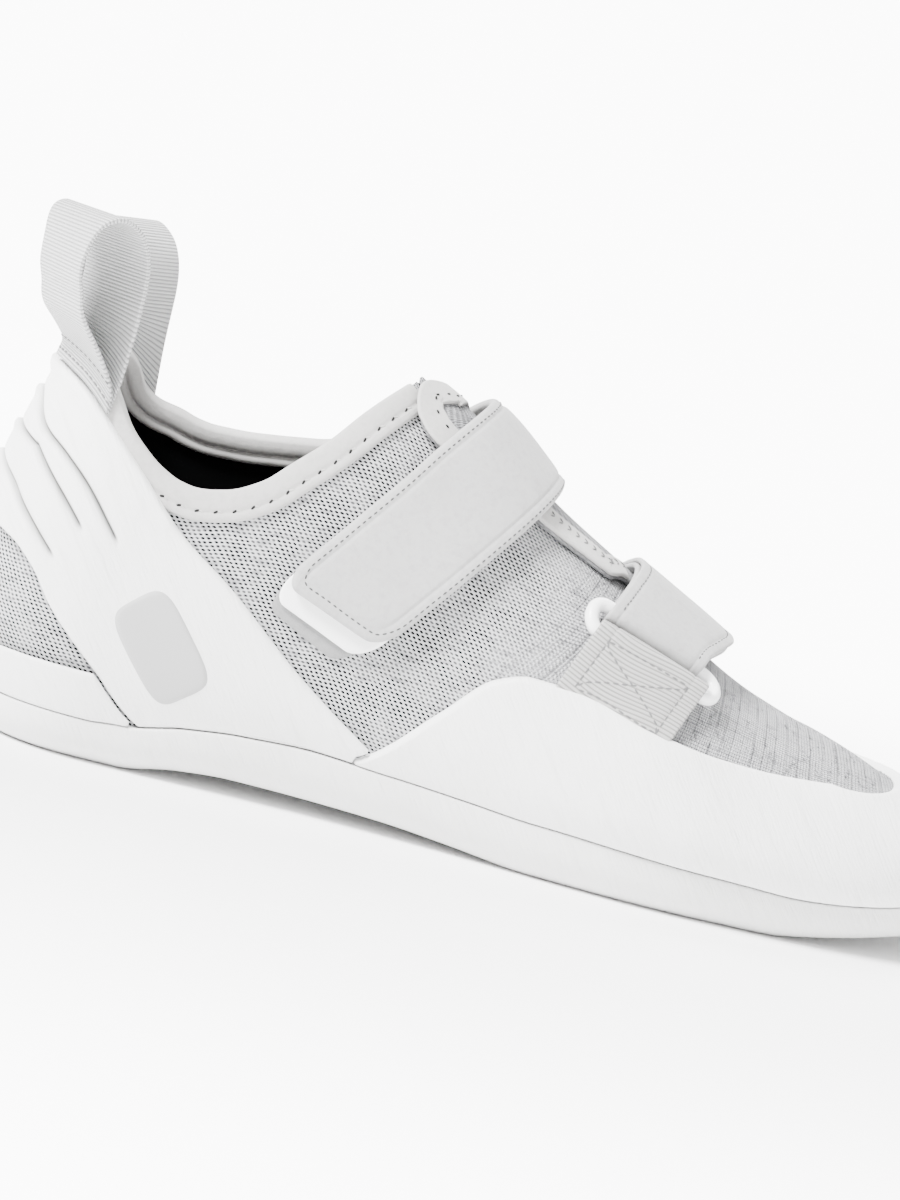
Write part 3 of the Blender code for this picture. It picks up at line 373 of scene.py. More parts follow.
def side_reach(x, side, height):
    """Distance from the spine to the skin at this height, on the section at x."""
    half, seam, widest, ridge = section(x, side)
    if height >= widest:
        rise = min(1.0, (height - widest) / max(ridge - widest, SMALL))
        return half * math.sqrt(1 - rise**2)
    below = min(1.3, (widest - height) / max(widest - seam, SMALL))
    return half * (1 - SIDE_TUCK * below**2)


def heel_turn(station):
    """Angle from straight back to the side for a station within the heel."""
    return station / HEEL_SHARE * math.pi / 2


def heel_levels(station, side):
    """(seam, widest, ridge) heights for a station within the heel."""
    back = math.cos(heel_turn(station)) ** 2
    _, seam, widest, ridge = section(HEEL_CENTRE, side)
    return seam, widest + (BACK_WIDEST * HEEL_HEIGHT - widest) * back, ridge


def levels(station, side):
    if station < HEEL_SHARE:
        return heel_levels(station, side)
    return section(station_x(station), side)[1:]


def q_at(station, side, height):
    """The q of the skin at this height."""
    seam, widest, ridge = levels(station, side)
    if height < widest:
        return (height - widest) / max(widest - seam, SMALL)
    return 2 / math.pi * math.asin(min(1.0, (height - widest) / max(ridge - widest, SMALL)))


def height_at(station, side, q):
    seam, widest, ridge = levels(station, side)
    if q < 0:
        return widest + q * (widest - seam)
    return widest + (ridge - widest) * math.sin(q * math.pi / 2)


def spine(x):
    return BALL_WIDTH * SPINE(x / SHOE_LENGTH)


def skin_point(u, q):
    """A point of the upper's outer skin, in metres from the heel's back."""
    u = max(-1.0, min(1.0, u))
    if q > 1:
        u, q = -u, 2 - q
    side = -1 if u < 0 else 1
    station = abs(u)
    height = height_at(station, side, q)
    if station >= HEEL_SHARE:
        x = station_x(station)
        half = section(x, side)[0]
        if q >= 0:
            reach = half * math.cos(q * math.pi / 2)
        else:
            reach = side_reach(x, side, height)
        return Vector((x, spine(x) + side * reach, height))
    turn = heel_turn(station)
    across = max(side_reach(HEEL_CENTRE, side, height), SMALL)
    back = (HEEL_CENTRE - HEEL_BACK_X) * (1 - BACK(height / HEEL_HEIGHT))
    power = HEEL_ROUNDNESS
    reach = ((math.cos(turn) / back) ** power + (math.sin(turn) / across) ** power) ** (-1 / power)
    return Vector((HEEL_CENTRE - reach * math.cos(turn), side * reach * math.sin(turn), height))


def skin_slopes(u, q):
    """How the skin moves for a step in u and for a step in q."""
    low, high = max(-1.0, u - SMALL), min(1.0, u + SMALL)
    along = (skin_point(high, q) - skin_point(low, q)) / (high - low)
    below, above = max(-1.0, q - SMALL), q + SMALL
    up = (skin_point(u, above) - skin_point(u, below)) / (above - below)
    return along, up


def skin_normal(u, q):
    along, up = skin_slopes(u, q)
    normal = up.cross(along)
    if abs(u) > 1 - SMALL or normal.length < 1e-12:
        return Vector((1, 0, 0))
    return normal.normalized()


def collar_q(station, side):
    height = HEEL_HEIGHT * COLLAR["outer" if side < 0 else "inner"](station)
    return q_at(station, side, height)


def top_q(station, side):
    """The upper's top edge: the collar, then the throat's slit, then the closed ridge."""
    if station < HEEL_SHARE:
        return collar_q(station, side)
    half = section(station_x(station), side)[0]
    slit = 0.0
    if station < SLIT.places[-1]:
        slit = SLIT_WIDTH / 2 * SLIT(station) / half * 2 / math.pi
    if station > COLLAR["outer"].places[-1]:
        return 1 - slit
    return min(collar_q(station, side), 1 - slit)


def side_of(u):
    return -1 if u < 0 else 1


def edge_place(u):
    """(edge point, centre point) of the sole at one station."""
    feather = skin_point(u, -1.0)
    normal = skin_normal(u, -1.0)
    out = Vector((normal.x, normal.y, 0)).normalized()
    edge = feather + out * (LAYER + SOLE_LIP)
    station = abs(u)
    if station < HEEL_SHARE:
        centre = Vector((HEEL_CENTRE, 0, 0))
    else:
        x = station_x(station)
        centre = Vector((x, spine(x), 0))
    return edge, centre


def sole_row(u, inset, height_of):
    """A point of the sole at a distance in from its edge, or at the centre for None."""
    edge, centre = edge_place(u)
    reach = Vector((edge.x - centre.x, edge.y - centre.y, 0)).length
    scale = min(1.0, reach / FULL_REACH)
    share = 1.0 if inset is None else min(1.0, inset * scale / max(reach, SMALL))
    x = edge.x + (centre.x - edge.x) * share
    y = edge.y + (centre.y - edge.y) * share
    return Vector((x, y, height_of(x, 1 - share)))


def arch_lift(station, side):
    """How much higher the sole's seam is on this side than on the outer side."""
    return levels(station, side)[0] - levels(station, -1)[0]


def rand_top(station, side):
    return INSTEP_HEIGHT * RAND_TOP(station_x(station) / SHOE_LENGTH) + arch_lift(station, side)


def rand_q(station, side):
    """The toe rand's top edge."""
    along = station_x(station) / SHOE_LENGTH
    if along >= RAND_CROSSING - SMALL:
        return 1.0
    if along <= RAND_BEND:
        return q_at(station, side, rand_top(station, side))
    bend = q_at(station_of(RAND_BEND * SHOE_LENGTH), side, INSTEP_HEIGHT * RAND_TOP(RAND_BEND))
    share = (along - RAND_BEND) / (RAND_CROSSING - RAND_BEND)
    return 1 - (1 - bend) * math.sqrt(1 - share**2)


def binding_foot(station, side):
    """Height of the collar binding's lower edge outside."""
    edge = COLLAR["outer" if side < 0 else "inner"]
    step = 0.004
    before, after = skin_point(side * (station - step), 0.5), skin_point(side * (station + step), 0.5)
    fall = HEEL_HEIGHT * (edge(station + step) - edge(station - step)) / (after - before).length
    return HEEL_HEIGHT * edge(station) - BINDING_WIDTH * math.hypot(1, fall)


def belt_q(lean, foot, height, side=-1):
    """The q at which a leaning plane's line on the skin reaches a height."""
    x = foot * SHOE_LENGTH + lean * height
    q = q_at(station_of(x), side, height)
    return q if side < 0 else 2 - q


def strap_end_height(share, drop=0.0):
    """Height of the main strap's outer end across its width, with rounded corners."""
    start, end = STRAP_END_HEIGHTS
    height = INSTEP_HEIGHT * (start + (end - start) * share)
    width = (STRAP_EDGES[1] - STRAP_EDGES[0]) * SHOE_LENGTH
    edge = min(share, 1 - share) * width
    rounding = STRAP_CORNER - math.sqrt(max(0.0, STRAP_CORNER**2 - max(0.0, STRAP_CORNER - edge) ** 2))
    return height + rounding - drop


def ring_rise(share):
    """How much the ring's q grows from its middle to this share of what it holds."""
    slope_up = skin_slopes(-RING_ALONG, RING_Q)[1].length
    return RING_SLOPE * (share - 0.5) * (RING_LENGTH - 2 * RING_ROD) / slope_up


RING_LIFT = GAP + LOWER_STRAP_WALL + GAP + RING_ROD / 2 + 0.0002
FOLD_RADIUS = RING_ROD / 2 + 0.0005


def lower_strap_path(inner_q, rise):
    """(q, lift of the strap's middle) from its inner end round the ring's upper bar and back."""
    half = LOWER_STRAP_WALL / 2
    flap_top = SEAT + FLAP_WALL + GAP + FLAP_TRIM_WALL + GAP
    slope_up = skin_slopes(-RING_ALONG, RING_Q)[1].length
    bar_q = RING_Q + RING_BARS_APART / 2 / slope_up + rise
    radius = FOLD_RADIUS + half
    under = RING_LIFT - radius
    path = [(q, 2 * GAP + half) for q in spaced(inner_q, 1.46, 2)] + [(1.40, 0.0014 + half)]
    path += [(q, flap_top + half) for q in (1.30, 1.18, 1.06, 0.94, 0.84, 0.75)]
    path += [(bar_q + 0.055, under + 0.0006), (bar_q + 0.025, under), (bar_q, under)]
    for turn in (35, 70, 105, 140, 180):
        angle = math.radians(turn)
        path.append((bar_q - radius * math.sin(angle) / slope_up, RING_LIFT - radius * math.cos(angle)))
    over = flap_top + LOWER_STRAP_WALL + GAP + half
    path += [(bar_q + 0.045, RING_LIFT + radius - 0.0003), (0.76, RING_LIFT + radius - 0.0010)]
    path += [(0.85, over + 0.0010), (0.94, over + 0.0004)]
    path += [(q, over) for q in (1.03, 1.12, 1.21, 1.32)]
    path += [(1.42, over - 0.0010), (LOWER_TIP_Q, over - 0.0013)]
    return path


def loop_foot(place):
    """Height of a pull loop's sewn ends: they meet the sling's top edge."""
    return INSTEP_HEIGHT * SLING["top"](place) + LOOP_CLEARANCE


def spaced(start, end, count):
    return [start + (end - start) * i / count for i in range(count + 1)]


def between(edges, share):
    """A value that runs from the first edge to the second."""
    return edges[0] + (edges[1] - edges[0]) * share


def belt_width(edges, lean):
    """The width of a strap between leaning planes, measured square across it."""
    return (edges[1] - edges[0]) * SHOE_LENGTH * math.cos(math.atan(lean))


# The skin as a fine table, in the part's own frame, read between its points.
STEPS_U, STEPS_Q = 800, 110
skin_us = np.linspace(-1, 1, STEPS_U + 1)
skin_qs = np.linspace(-1, 1, STEPS_Q + 1)
SKIN = np.array([[tuple(skin_point(u, q)) for q in skin_qs] for u in skin_us])
SKIN[..., 0] -= REST_SPOT
ALONG = np.gradient(SKIN, skin_us, axis=0)
UP = np.gradient(SKIN, skin_qs, axis=1)
NORMAL = np.cross(UP, ALONG)
normal_size = np.linalg.norm(NORMAL, axis=-1, keepdims=True)
NORMAL = np.where(normal_size > TINY, NORMAL / np.maximum(normal_size, TINY), np.array([1.0, 0, 0]))
NORMAL[0] = NORMAL[-1] = (1, 0, 0)


def read(field, u, q, mirror=False):
    u, q = np.broadcast_arrays(np.asarray(u, float), np.asarray(q, float))
    over = q > 1
    a = (np.clip(np.where(over, -u, u), -1, 1) + 1) / 2 * STEPS_U
    b = (np.clip(np.where(over, 2 - q, q), -1, 1) + 1) / 2 * STEPS_Q
    i = np.clip(a.astype(int), 0, STEPS_U - 1)
    j = np.clip(b.astype(int), 0, STEPS_Q - 1)
    s, t = (a - i)[..., None], (b - j)[..., None]
    value = (field[i, j] * (1 - s) + field[i + 1, j] * s) * (1 - t)
    value = value + (field[i, j + 1] * (1 - s) + field[i + 1, j + 1] * s) * t
    return np.where(over[..., None], -value, value) if mirror else value


def unit(v):
    return v / np.maximum(np.linalg.norm(v, axis=-1, keepdims=True), 1e-12)


def over(u, q, lift):
    """Points at a distance outside the skin."""
    n = unit(read(NORMAL, u, q))
    out = unit(np.concatenate([n[..., :2], np.maximum(n[..., 2:], 0)], -1))
    scale = np.maximum(0.6, (out * n).sum(-1))
    return read(SKIN, u, q) + out * (np.asarray(lift) / scale)[..., None]


def step_of(u, q, heading):
    """The change in (u, q) for each metre moved on the skin along a heading."""
    a, b = read(ALONG, u, q, True), read(UP, u, q, True)
    aa, ab, bb = (a * a).sum(-1), (a * b).sum(-1), (b * b).sum(-1)
    ha, hb = (a * heading).sum(-1), (b * heading).sum(-1)
    det = np.maximum(aa * bb - ab * ab, 1e-12)
    return (ha * bb - hb * ab) / det, (hb * aa - ha * ab) / det


def wobble(p, size, amount, seed=0.0):
    """A soft unevenness, so that no face is dead true."""
    x, y, z = (p[..., k] * (2 * math.pi / size) for k in range(3))
    value = np.sin(x + 1.7 * np.sin(y * 0.8 + seed) + seed) + np.sin(1.3 * y + z + 2.1 * seed)
    value = value + np.sin(1.1 * z - 0.7 * x + 1.3 * np.sin(x + 0.6 * z)) + 0.5 * np.sin(2.3 * x + 1.9 * z)
    return value / 3.5 * amount


def piece_of(name, mesh, finish):
    """A smooth piece that rides with the shoe."""
    mesh.materials.append(finish)
    mesh.shade_smooth()
    piece = bpy.data.objects.new(name, mesh)
    bpy.context.scene.collection.objects.link(piece)
    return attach(piece, "root")


def surface(name, points, finish, uv=None, outward=None, closed=False, attrs=None, weld=False):
    """A smooth mesh through a grid of points, turned to look along outward."""
    points = np.asarray(points, float)
    rows, columns = points.shape[:2]
    ids = np.arange(rows * columns).reshape(rows, columns)
    if closed:
        ids = np.concatenate([ids, ids[:, :1]], 1)
    quads = np.stack([ids[:-1, :-1], ids[1:, :-1], ids[1:, 1:], ids[:-1, 1:]], -1).reshape(-1, 4)
    flat = points.reshape(-1, 3)
    corner = flat[quads]
    facing = np.cross(corner[:, 2] - corner[:, 0], corner[:, 3] - corner[:, 1])
    if outward is None:
        away = corner.mean(1) - flat.mean(0)
    elif np.shape(outward) == (3,):
        away = corner.mean(1) - np.asarray(outward)
    else:
        away = np.asarray(outward).reshape(-1, 3)[quads[:, 0]]
    if (facing * away).sum() < 0:
        quads = quads[:, ::-1]
    mesh = bpy.data.meshes.new(name)
    mesh.from_pydata(flat.tolist(), [], quads.tolist())
    if uv is not None:
        layer = mesh.uv_layers.new(name="cloth")
        order = np.empty(len(mesh.loops), np.int32)
        mesh.loops.foreach_get("vertex_index", order)
        flat_uv = np.asarray(uv, float).reshape(-1, 2)[order]
        layer.data.foreach_set("uv", flat_uv.astype(np.float32).ravel())
    for label, values in (attrs or {}).items():
        made = mesh.attributes.new(label, "FLOAT", "POINT")
        made.data.foreach_set("value", np.asarray(values, np.float32).ravel())
    if weld:
        builder = bmesh.new()
        builder.from_mesh(mesh)
        bmesh.ops.remove_doubles(builder, verts=builder.verts, dist=2e-6)
        builder.to_mesh(mesh)
        builder.free()
    return piece_of(name, mesh, finish)


def rounded(distance, reach):
    """0 at an edge and 1 past reach, on a quarter circle."""
    t = np.clip(np.asarray(distance) / reach, 0, 1)
    return np.sqrt(np.maximum(0, 1 - (1 - t) ** 2))


def smooth(low, high, value):
    t = np.clip((np.asarray(value, float) - low) / (high - low), 0, 1)
    return t * t * (3 - 2 * t)


def ramp(count, width, edge):
    """Shares of a width: close rows within the edge distance of both ends, even ones between."""
    near = [0.0, 0.04, 0.12, 0.25, 0.45, 0.7, 1.0]
    start = [edge * n / width for n in near]
    inner = np.linspace(edge / width, 1 - edge / width, count + 2)[1:-1].tolist()
    return np.array(start + inner + [1 - s for s in reversed(start)])


def arc(points):
    """Length along a line of points."""
    steps = np.linalg.norm(np.diff(points, axis=0), axis=-1)
    return np.concatenate([[0], np.cumsum(steps)])


def along_line(line, run, spots):
    """A line's values at distances along it, where run holds the distance of each of its rows."""
    return np.stack([np.interp(spots, run, line[:, k]) for k in range(line.shape[1])], -1)


# Materials


class Term:
    """A value in a node tree, written with ordinary arithmetic."""

    def __init__(self, tree, socket):
        self.tree, self.socket = tree, socket

    def join(self, kind, *others, clamp=False):
        node = self.tree.nodes.new("ShaderNodeMath")
        node.operation = kind
        node.use_clamp = clamp
        for port, value in zip(node.inputs, (self, *others)):
            if isinstance(value, Term):
                self.tree.links.new(value.socket, port)
            else:
                port.default_value = value
        return Term(self.tree, node.outputs[0])

    def __add__(self, other):
        return self.join("ADD", other)

    def __sub__(self, other):
        return self.join("SUBTRACT", other)

    def __mul__(self, other):
        return self.join("MULTIPLY", other)

    def __truediv__(self, other):
        return self.join("DIVIDE", other)

    __radd__ = __add__
    __rmul__ = __mul__

    def flipped(self):
        return self * -1.0 + 1.0

    def sine(self):
        return self.join("SINE")

    def floor(self):
        return self.join("FLOOR")

    def fract(self):
        return self.join("FRACT")

    def between(self, low, high):
        """0 below low and 1 above high, smoothly."""
        node = self.tree.nodes.new("ShaderNodeMapRange")
        node.interpolation_type = "SMOOTHSTEP"
        self.tree.links.new(self.socket, node.inputs["Value"])
        node.inputs["From Min"].default_value = low
        node.inputs["From Max"].default_value = high
        return Term(self.tree, node.outputs["Result"])


class Nodes:
    """Shortcuts for building a node tree."""

    def __init__(self, tree):
        self.tree = tree
        self.coords = tree.nodes.new("ShaderNodeTexCoord")

    def constant_colour(self, colour):
        node = self.tree.nodes.new("ShaderNodeRGB")
        node.outputs[0].default_value = (*colour, 1)
        return node.outputs[0]

    def place(self, uv=False, scale=(1, 1, 1)):
        """Object coordinates, or the cloth's own, in units of a metre over scale."""
        node = self.tree.nodes.new("ShaderNodeMapping")
        self.tree.links.new(self.coords.outputs["UV" if uv else "Object"], node.inputs["Vector"])
        node.inputs["Scale"].default_value = scale
        return node.outputs[0]

    def leaning(self, sizes, turn):
        """Object coordinates for grain that leans: the size of its marks along, across and up."""
        node = self.tree.nodes.new("ShaderNodeMapping")
        node.vector_type = "TEXTURE"
        self.tree.links.new(self.coords.outputs["Object"], node.inputs["Vector"])
        node.inputs["Rotation"].default_value = (0, turn, 0)
        node.inputs["Scale"].default_value = sizes
        return node.outputs[0]

    def split(self, vector):
        node = self.tree.nodes.new("ShaderNodeSeparateXYZ")
        self.tree.links.new(vector, node.inputs[0])
        return [Term(self.tree, port) for port in node.outputs]

    def attribute(self, label):
        node = self.tree.nodes.new("ShaderNodeAttribute")
        node.attribute_name = label
        return Term(self.tree, node.outputs["Fac"])

    def noise(self, vector, scale, detail=2.0, rough=0.5):
        node = self.tree.nodes.new("ShaderNodeTexNoise")
        self.tree.links.new(vector, node.inputs["Vector"])
        node.inputs["Scale"].default_value = scale
        node.inputs["Detail"].default_value = detail
        node.inputs["Roughness"].default_value = rough
        return Term(self.tree, node.outputs["Fac"])

    def shade(self, colour, share):
        """A colour made darker or lighter by a share."""
        node = self.tree.nodes.new("ShaderNodeVectorMath")
        node.operation = "SCALE"
        self.tree.links.new(colour, node.inputs[0])
        node.inputs["Scale"].default_value = share
        return node.outputs[0]

    def mix(self, colour, share, other):
        """A colour mixed towards another by a share."""
        node = self.tree.nodes.new("ShaderNodeMix")
        node.data_type = "RGBA"
        other = self.constant_colour(other) if isinstance(other, tuple) else other
        self.tree.links.new(share.socket, node.inputs["Factor"])
        self.tree.links.new(colour, node.inputs[6])
        self.tree.links.new(other, node.inputs[7])
        return node.outputs[2]


class Effect(Nodes):
    """A node group that several materials share: a colour goes in, and named sockets come out."""

    def __init__(self, name, values_in=(), values_out=("Height",)):
        self.group = bpy.data.node_groups.new(name, "ShaderNodeTree")
        super().__init__(self.group)
        for label in ("Colour", *values_in):
            self.socket(label, "INPUT")
        for label in ("Colour", *values_out):
            self.socket(label, "OUTPUT")
        self.given = self.tree.nodes.new("NodeGroupInput").outputs
        self.made = self.tree.nodes.new("NodeGroupOutput").inputs

    def socket(self, label, way):
        kind = "NodeSocketColor" if label == "Colour" else "NodeSocketFloat"
        self.group.interface.new_socket(name=label, in_out=way, socket_type=kind)

    def give(self, **sockets):
        for label, value in sockets.items():
            value = value.socket if isinstance(value, Term) else value
            self.tree.links.new(value, self.made[label])
        return self.group


class Finish(Nodes):
    """A Principled material with a few shortcuts."""

    def __init__(self, name, colour, rough, **more):
        self.material = bpy.data.materials.new(name)
        self.material.use_nodes = True
        super().__init__(self.material.node_tree)
        self.shader = self.tree.nodes["Principled BSDF"]
        self.shader.inputs["Base Color"].default_value = (*colour, 1)
        self.shader.inputs["Roughness"].default_value = rough
        for label, value in more.items():
            self.shader.inputs[label.replace("_", " ")].default_value = value
        self.colour = self.constant_colour(colour)

    def put(self, label, socket):
        socket = socket.socket if isinstance(socket, Term) else socket
        self.tree.links.new(socket, self.shader.inputs[label])

    def add_effect(self, group, **values):
        """The outputs of a shared effect, over this material's own colour."""
        node = self.tree.nodes.new("ShaderNodeGroup")
        node.node_tree = group
        self.tree.links.new(self.colour, node.inputs["Colour"])
        for label, value in values.items():
            node.inputs[label].default_value = value
        self.put("Base Color", node.outputs["Colour"])
        return node.outputs

    def blend(self, share, other):
        """Mixes the colour so far towards another by a share."""
        self.colour = self.mix(self.colour, share, other)
        self.put("Base Color", self.colour)

    def bump(self, height, metres, strength=1.0):
        node = self.tree.nodes.new("ShaderNodeBump")
        height = height.socket if isinstance(height, Term) else height
        self.tree.links.new(height, node.inputs["Height"])
        node.inputs["Distance"].default_value = metres
        node.inputs["Strength"].default_value = strength
        self.put("Normal", node.outputs[0])


def rubber_grain():
    """Fine pores, slanting grain and soft folds, and painted shade: a dark line painted in each moulded welt's
    groove.
    """
    made = Effect("rubber_grain", values_out=("Roughness", "Height"))
    pores = made.noise(made.place(), 1500, 3.0, 0.6)
    slant = made.noise(made.leaning((0.0045, 0.02, 0.00055), GRAIN_LEAN), 1.0, 2.0)
    folds = made.noise(made.leaning((0.030, 0.03, 0.0022), GRAIN_LEAN), 1.0, 3.0)
    broad = made.noise(made.place(), 30, 3.0)
    colour = made.mix(made.given["Colour"], broad.between(0.50, 0.80) * 0.35, (0.66, 0.652, 0.636))
    colour = made.mix(colour, folds.between(0.56, 0.80) * 0.35, (0.60, 0.595, 0.58))
    colour = made.mix(colour, slant.between(0.55, 0.85) * 0.30, (0.62, 0.615, 0.61))
    # Painted shade: each welt's groove is painted nearly black.
    colour = made.mix(colour, made.attribute("painted_welt_shade"), (0.035, 0.034, 0.032))
    height = pores * 0.40 + slant * 1.0 + folds * 1.3
    return made.give(Colour=colour, Roughness=broad * 0.16 + 0.44, Height=height)


def suede_nap():
    """Short fibres in patches, darker and lighter than the suede's colour."""
    made = Effect("suede_nap")
    base = made.given["Colour"]
    fine = made.noise(made.place(), 2600, 4.0, 0.7)
    mid = made.noise(made.place(), 620, 3.0, 0.6)
    broad = made.noise(made.place(), 90, 2.0)
    colour = made.mix(base, mid.between(0.42, 0.75) * 0.38, made.shade(base, 0.68))
    colour = made.mix(colour, fine.between(0.52, 0.80) * 0.50, made.shade(base, 1.35))
    colour = made.mix(colour, broad.between(0.45, 0.75) * 0.35, made.shade(base, 0.80))
    return made.give(Colour=colour, Height=fine * 0.6 + mid * 0.9)


def webbing_ribs():
    """Ribs across the webbing, with painted shade in their troughs: the cloth's second coordinate runs along it,
    in millimetres.
    """
    made = Effect("webbing_ribs", values_in=("Pitch",))
    across, along, _ = made.split(made.place(True))
    pitch = Term(made.tree, made.given["Pitch"])
    wave = (along * (2 * math.pi) / pitch).sine()
    thread = (across * (2 * math.pi / THREAD_PITCH)).sine() * 0.5 + 0.5
    base = made.given["Colour"]
    dark = made.shade(base, 0.28)
    # Painted shade: the troughs between the ribs are painted darker.
    colour = made.mix(base, (wave * -0.5 + 0.5).between(0.40, 1.0) * 0.74, dark)
    colour = made.mix(colour, thread.between(0.6, 1.0) * 0.30, dark)
    return made.give(Colour=colour, Height=wave * 0.9 + thread * 0.25)


# The lean of the rubber's grain, and the webbing's thread pitch in millimetres
GRAIN_LEAN = 0.95
THREAD_PITCH = 0.46
RUBBER_GRAIN = rubber_grain()
SUEDE_NAP = suede_nap()
WEBBING_RIBS = webbing_ribs()


def rubber_finish(name, colour):
    made = Finish(name, colour, 0.52, Specular_IOR_Level=0.42)
    grain = made.add_effect(RUBBER_GRAIN)
    made.put("Roughness", grain["Roughness"])
    made.bump(grain["Height"], 0.00026, 0.9)
    return made.material


def suede_finish(name, colour, nap):
    made = Finish(name, colour, 0.92, Sheen_Weight=0.10, Sheen_Roughness=0.6, Specular_IOR_Level=0.22)
    made.bump(made.add_effect(SUEDE_NAP)["Height"], nap, 0.8)
    return made.material


def webbing_finish(name, colour, pitch):
    made = Finish(name, colour, 0.62, Sheen_Weight=0.15, Specular_IOR_Level=0.35)
    made.bump(made.add_effect(WEBBING_RIBS, Pitch=pitch)["Height"], 0.00016, 0.85)
    return made.material


def plain_finish(name, colour, rough, **more):
    return Finish(name, colour, rough, **more).material


def knit_finish(name):
    """Staggered stitch holes on the quarter, ribs of small stitches on the forefoot."""
    made = Finish(name, (0.50, 0.50, 0.51), 0.95, Sheen_Weight=0.06, Specular_IOR_Level=0.12)
    cloth = made.place(True)
    along, around, _ = made.split(cloth)
    fore = made.attribute("fore")
    rib_line = made.attribute("rib")
    soft = (made.noise(cloth, 0.35, 2.0) - 0.5) * 0.55
    along = along + soft
    around = around + (made.noise(cloth, 0.24, 2.0) - 0.5) * 0.6
    row = around / 0.92
    turn = (row.floor() * 0.5).fract()
    x = ((along / 1.28 + turn).fract() - 0.5) * 1.28
    y = (row.fract() - 0.5) * 0.92
    distance = ((x * x) * 5.0 + (y * y) * 12.0 + (x * y) * 6.5).join("SQRT")
    hole = distance.between(0.55, 1.30).flipped()
    patchy = made.noise(cloth, 0.10, 3.0, 0.6)
    single = made.noise(cloth, 0.75, 2.0, 0.7)
    streaks = made.noise(made.place(True, (0.16, 0.75, 1)), 1.0, 3.0, 0.6)
    strength = patchy.between(0.32, 0.66) * 0.34 + single.between(0.34, 0.66) * 0.28 + 0.68
    strength = strength * (fore * -0.78 + 1.0)
    rib_soft = rib_line + soft
    rib = ((rib_soft / 4.4).fract() - 0.5).join("ABSOLUTE").between(0.34, 0.50)
    rib_hold = made.noise(made.place(True, (0.30, 0.05, 1)), 1.0, 2.0).between(0.38, 0.62)
    column = (rib_soft * 0.98).fract() - 0.5
    vee = (column.join("ABSOLUTE") * 0.8 + around / 0.95).fract() - 0.5
    gap = vee.join("ABSOLUTE").between(0.16, 0.46)
    side = column.join("ABSOLUTE").between(0.30, 0.50)
    marl = made.noise(made.place(True, (0.60, 0.10, 1)), 1.0, 3.0, 0.7)
    marl_thread = single.between(0.40, 0.60) * marl.between(0.52, 0.66)
    made.blend(streaks.between(0.50, 0.70) * 0.60, (0.15, 0.15, 0.16))
    made.blend(fore * (gap * 0.66 + side * 0.50), (0.060, 0.060, 0.065))
    made.blend(fore * rib * (rib_hold * 0.48 + 0.06), (0.05, 0.05, 0.055))
    made.blend(fore * marl_thread * 0.80, (0.030, 0.030, 0.034))
    made.blend(hole * strength, (0.003, 0.003, 0.004))
    height = hole * -0.9 + made.noise(cloth, 3.6, 2.0) * 0.35
    height = height + fore * (gap * -0.45 + side * -0.45 + rib * -0.9)
    made.bump(height, 0.00026, 0.9)
    return made.material


RUBBER = rubber_finish("rubber", (0.80, 0.80, 0.795))
# Painted shade: the sole's rubber is painted darker than the rand's, for the shade on its side.
SHADED_SOLE_RUBBER = rubber_finish("shaded_sole_rubber", (0.72, 0.718, 0.71))
BINDING_SUEDE = suede_finish("binding_suede", (0.42, 0.412, 0.402), 0.00016)
STRAP_SUEDE = suede_finish("strap_suede", (0.36, 0.357, 0.355), 0.00013)
KNIT = knit_finish("knit")
WEBBING = webbing_finish("webbing", (0.50, 0.50, 0.50), 0.84)
RING_WEBBING = webbing_finish("ring_webbing", (0.42, 0.413, 0.402), 1.0)
PLASTIC = plain_finish("white_plastic", (0.90, 0.90, 0.90), 0.30, Specular_IOR_Level=0.5)
# Painted shade: the stitches' thread is the leather's own colour; these dashes are painted near black for the
# shade of their holes.
STITCH_SHADE = plain_finish("thread", (0.055, 0.055, 0.055), 0.9)
# Painted shade: paler dashes, painted darker than the cloth they sit on for the shade of their stitch holes.
PALE_STITCH_SHADE = plain_finish("pale_stitch_shade", (0.13, 0.13, 0.13), 0.9)
# Painted shade: near-black beads stand for the shade inside stitch holes.
HOLE_SHADE = plain_finish("painted_hole_shade", (0.006, 0.006, 0.006), 1.0)
BADGE = plain_finish("badge", (0.36, 0.36, 0.36), 0.5)
PILE = suede_finish("pile", (0.24, 0.24, 0.24), 0.0004)
LINING = plain_finish("lining", (0.0022, 0.0022, 0.0024), 0.95, Specular_IOR_Level=0.05)


# The upper


def cloth_map(u, points):
    """Millimetres along the foot and around it, leaning as the ribs lean, and how far forward."""
    steps = np.linalg.norm(np.diff(points, axis=1, prepend=points[:, :1]), axis=-1)
    girth = np.cumsum(steps, axis=1)
    line = read(SKIN, u[:, :1], np.full_like(u[:, :1], 0.2))[:, 0]
    run = arc(line)
    run = np.abs(run - np.interp(0.0, u[:, 0], run))[:, None] * 1000
    x = points[..., 0] + REST_SPOT
    lean = 0.80 * (1 - smooth(0.140, 0.215, x)) + 0.05
    rib = run - lean * (points[..., 2] * 1000)
    fore = smooth(0.112, 0.150, x - 0.45 * (points[..., 2] - 0.045))
    cloth = np.stack([np.broadcast_to(run, x.shape), girth * 1000], -1)
    return cloth, {"fore": fore, "rib": rib}


def upper_edge(u):
    return top_q(abs(u), side_of(u))


def seam_q(station, side):
    """Just above the line where the upper meets the sole."""
    return q_at(station, side, levels(station, side)[0] + 0.0002)


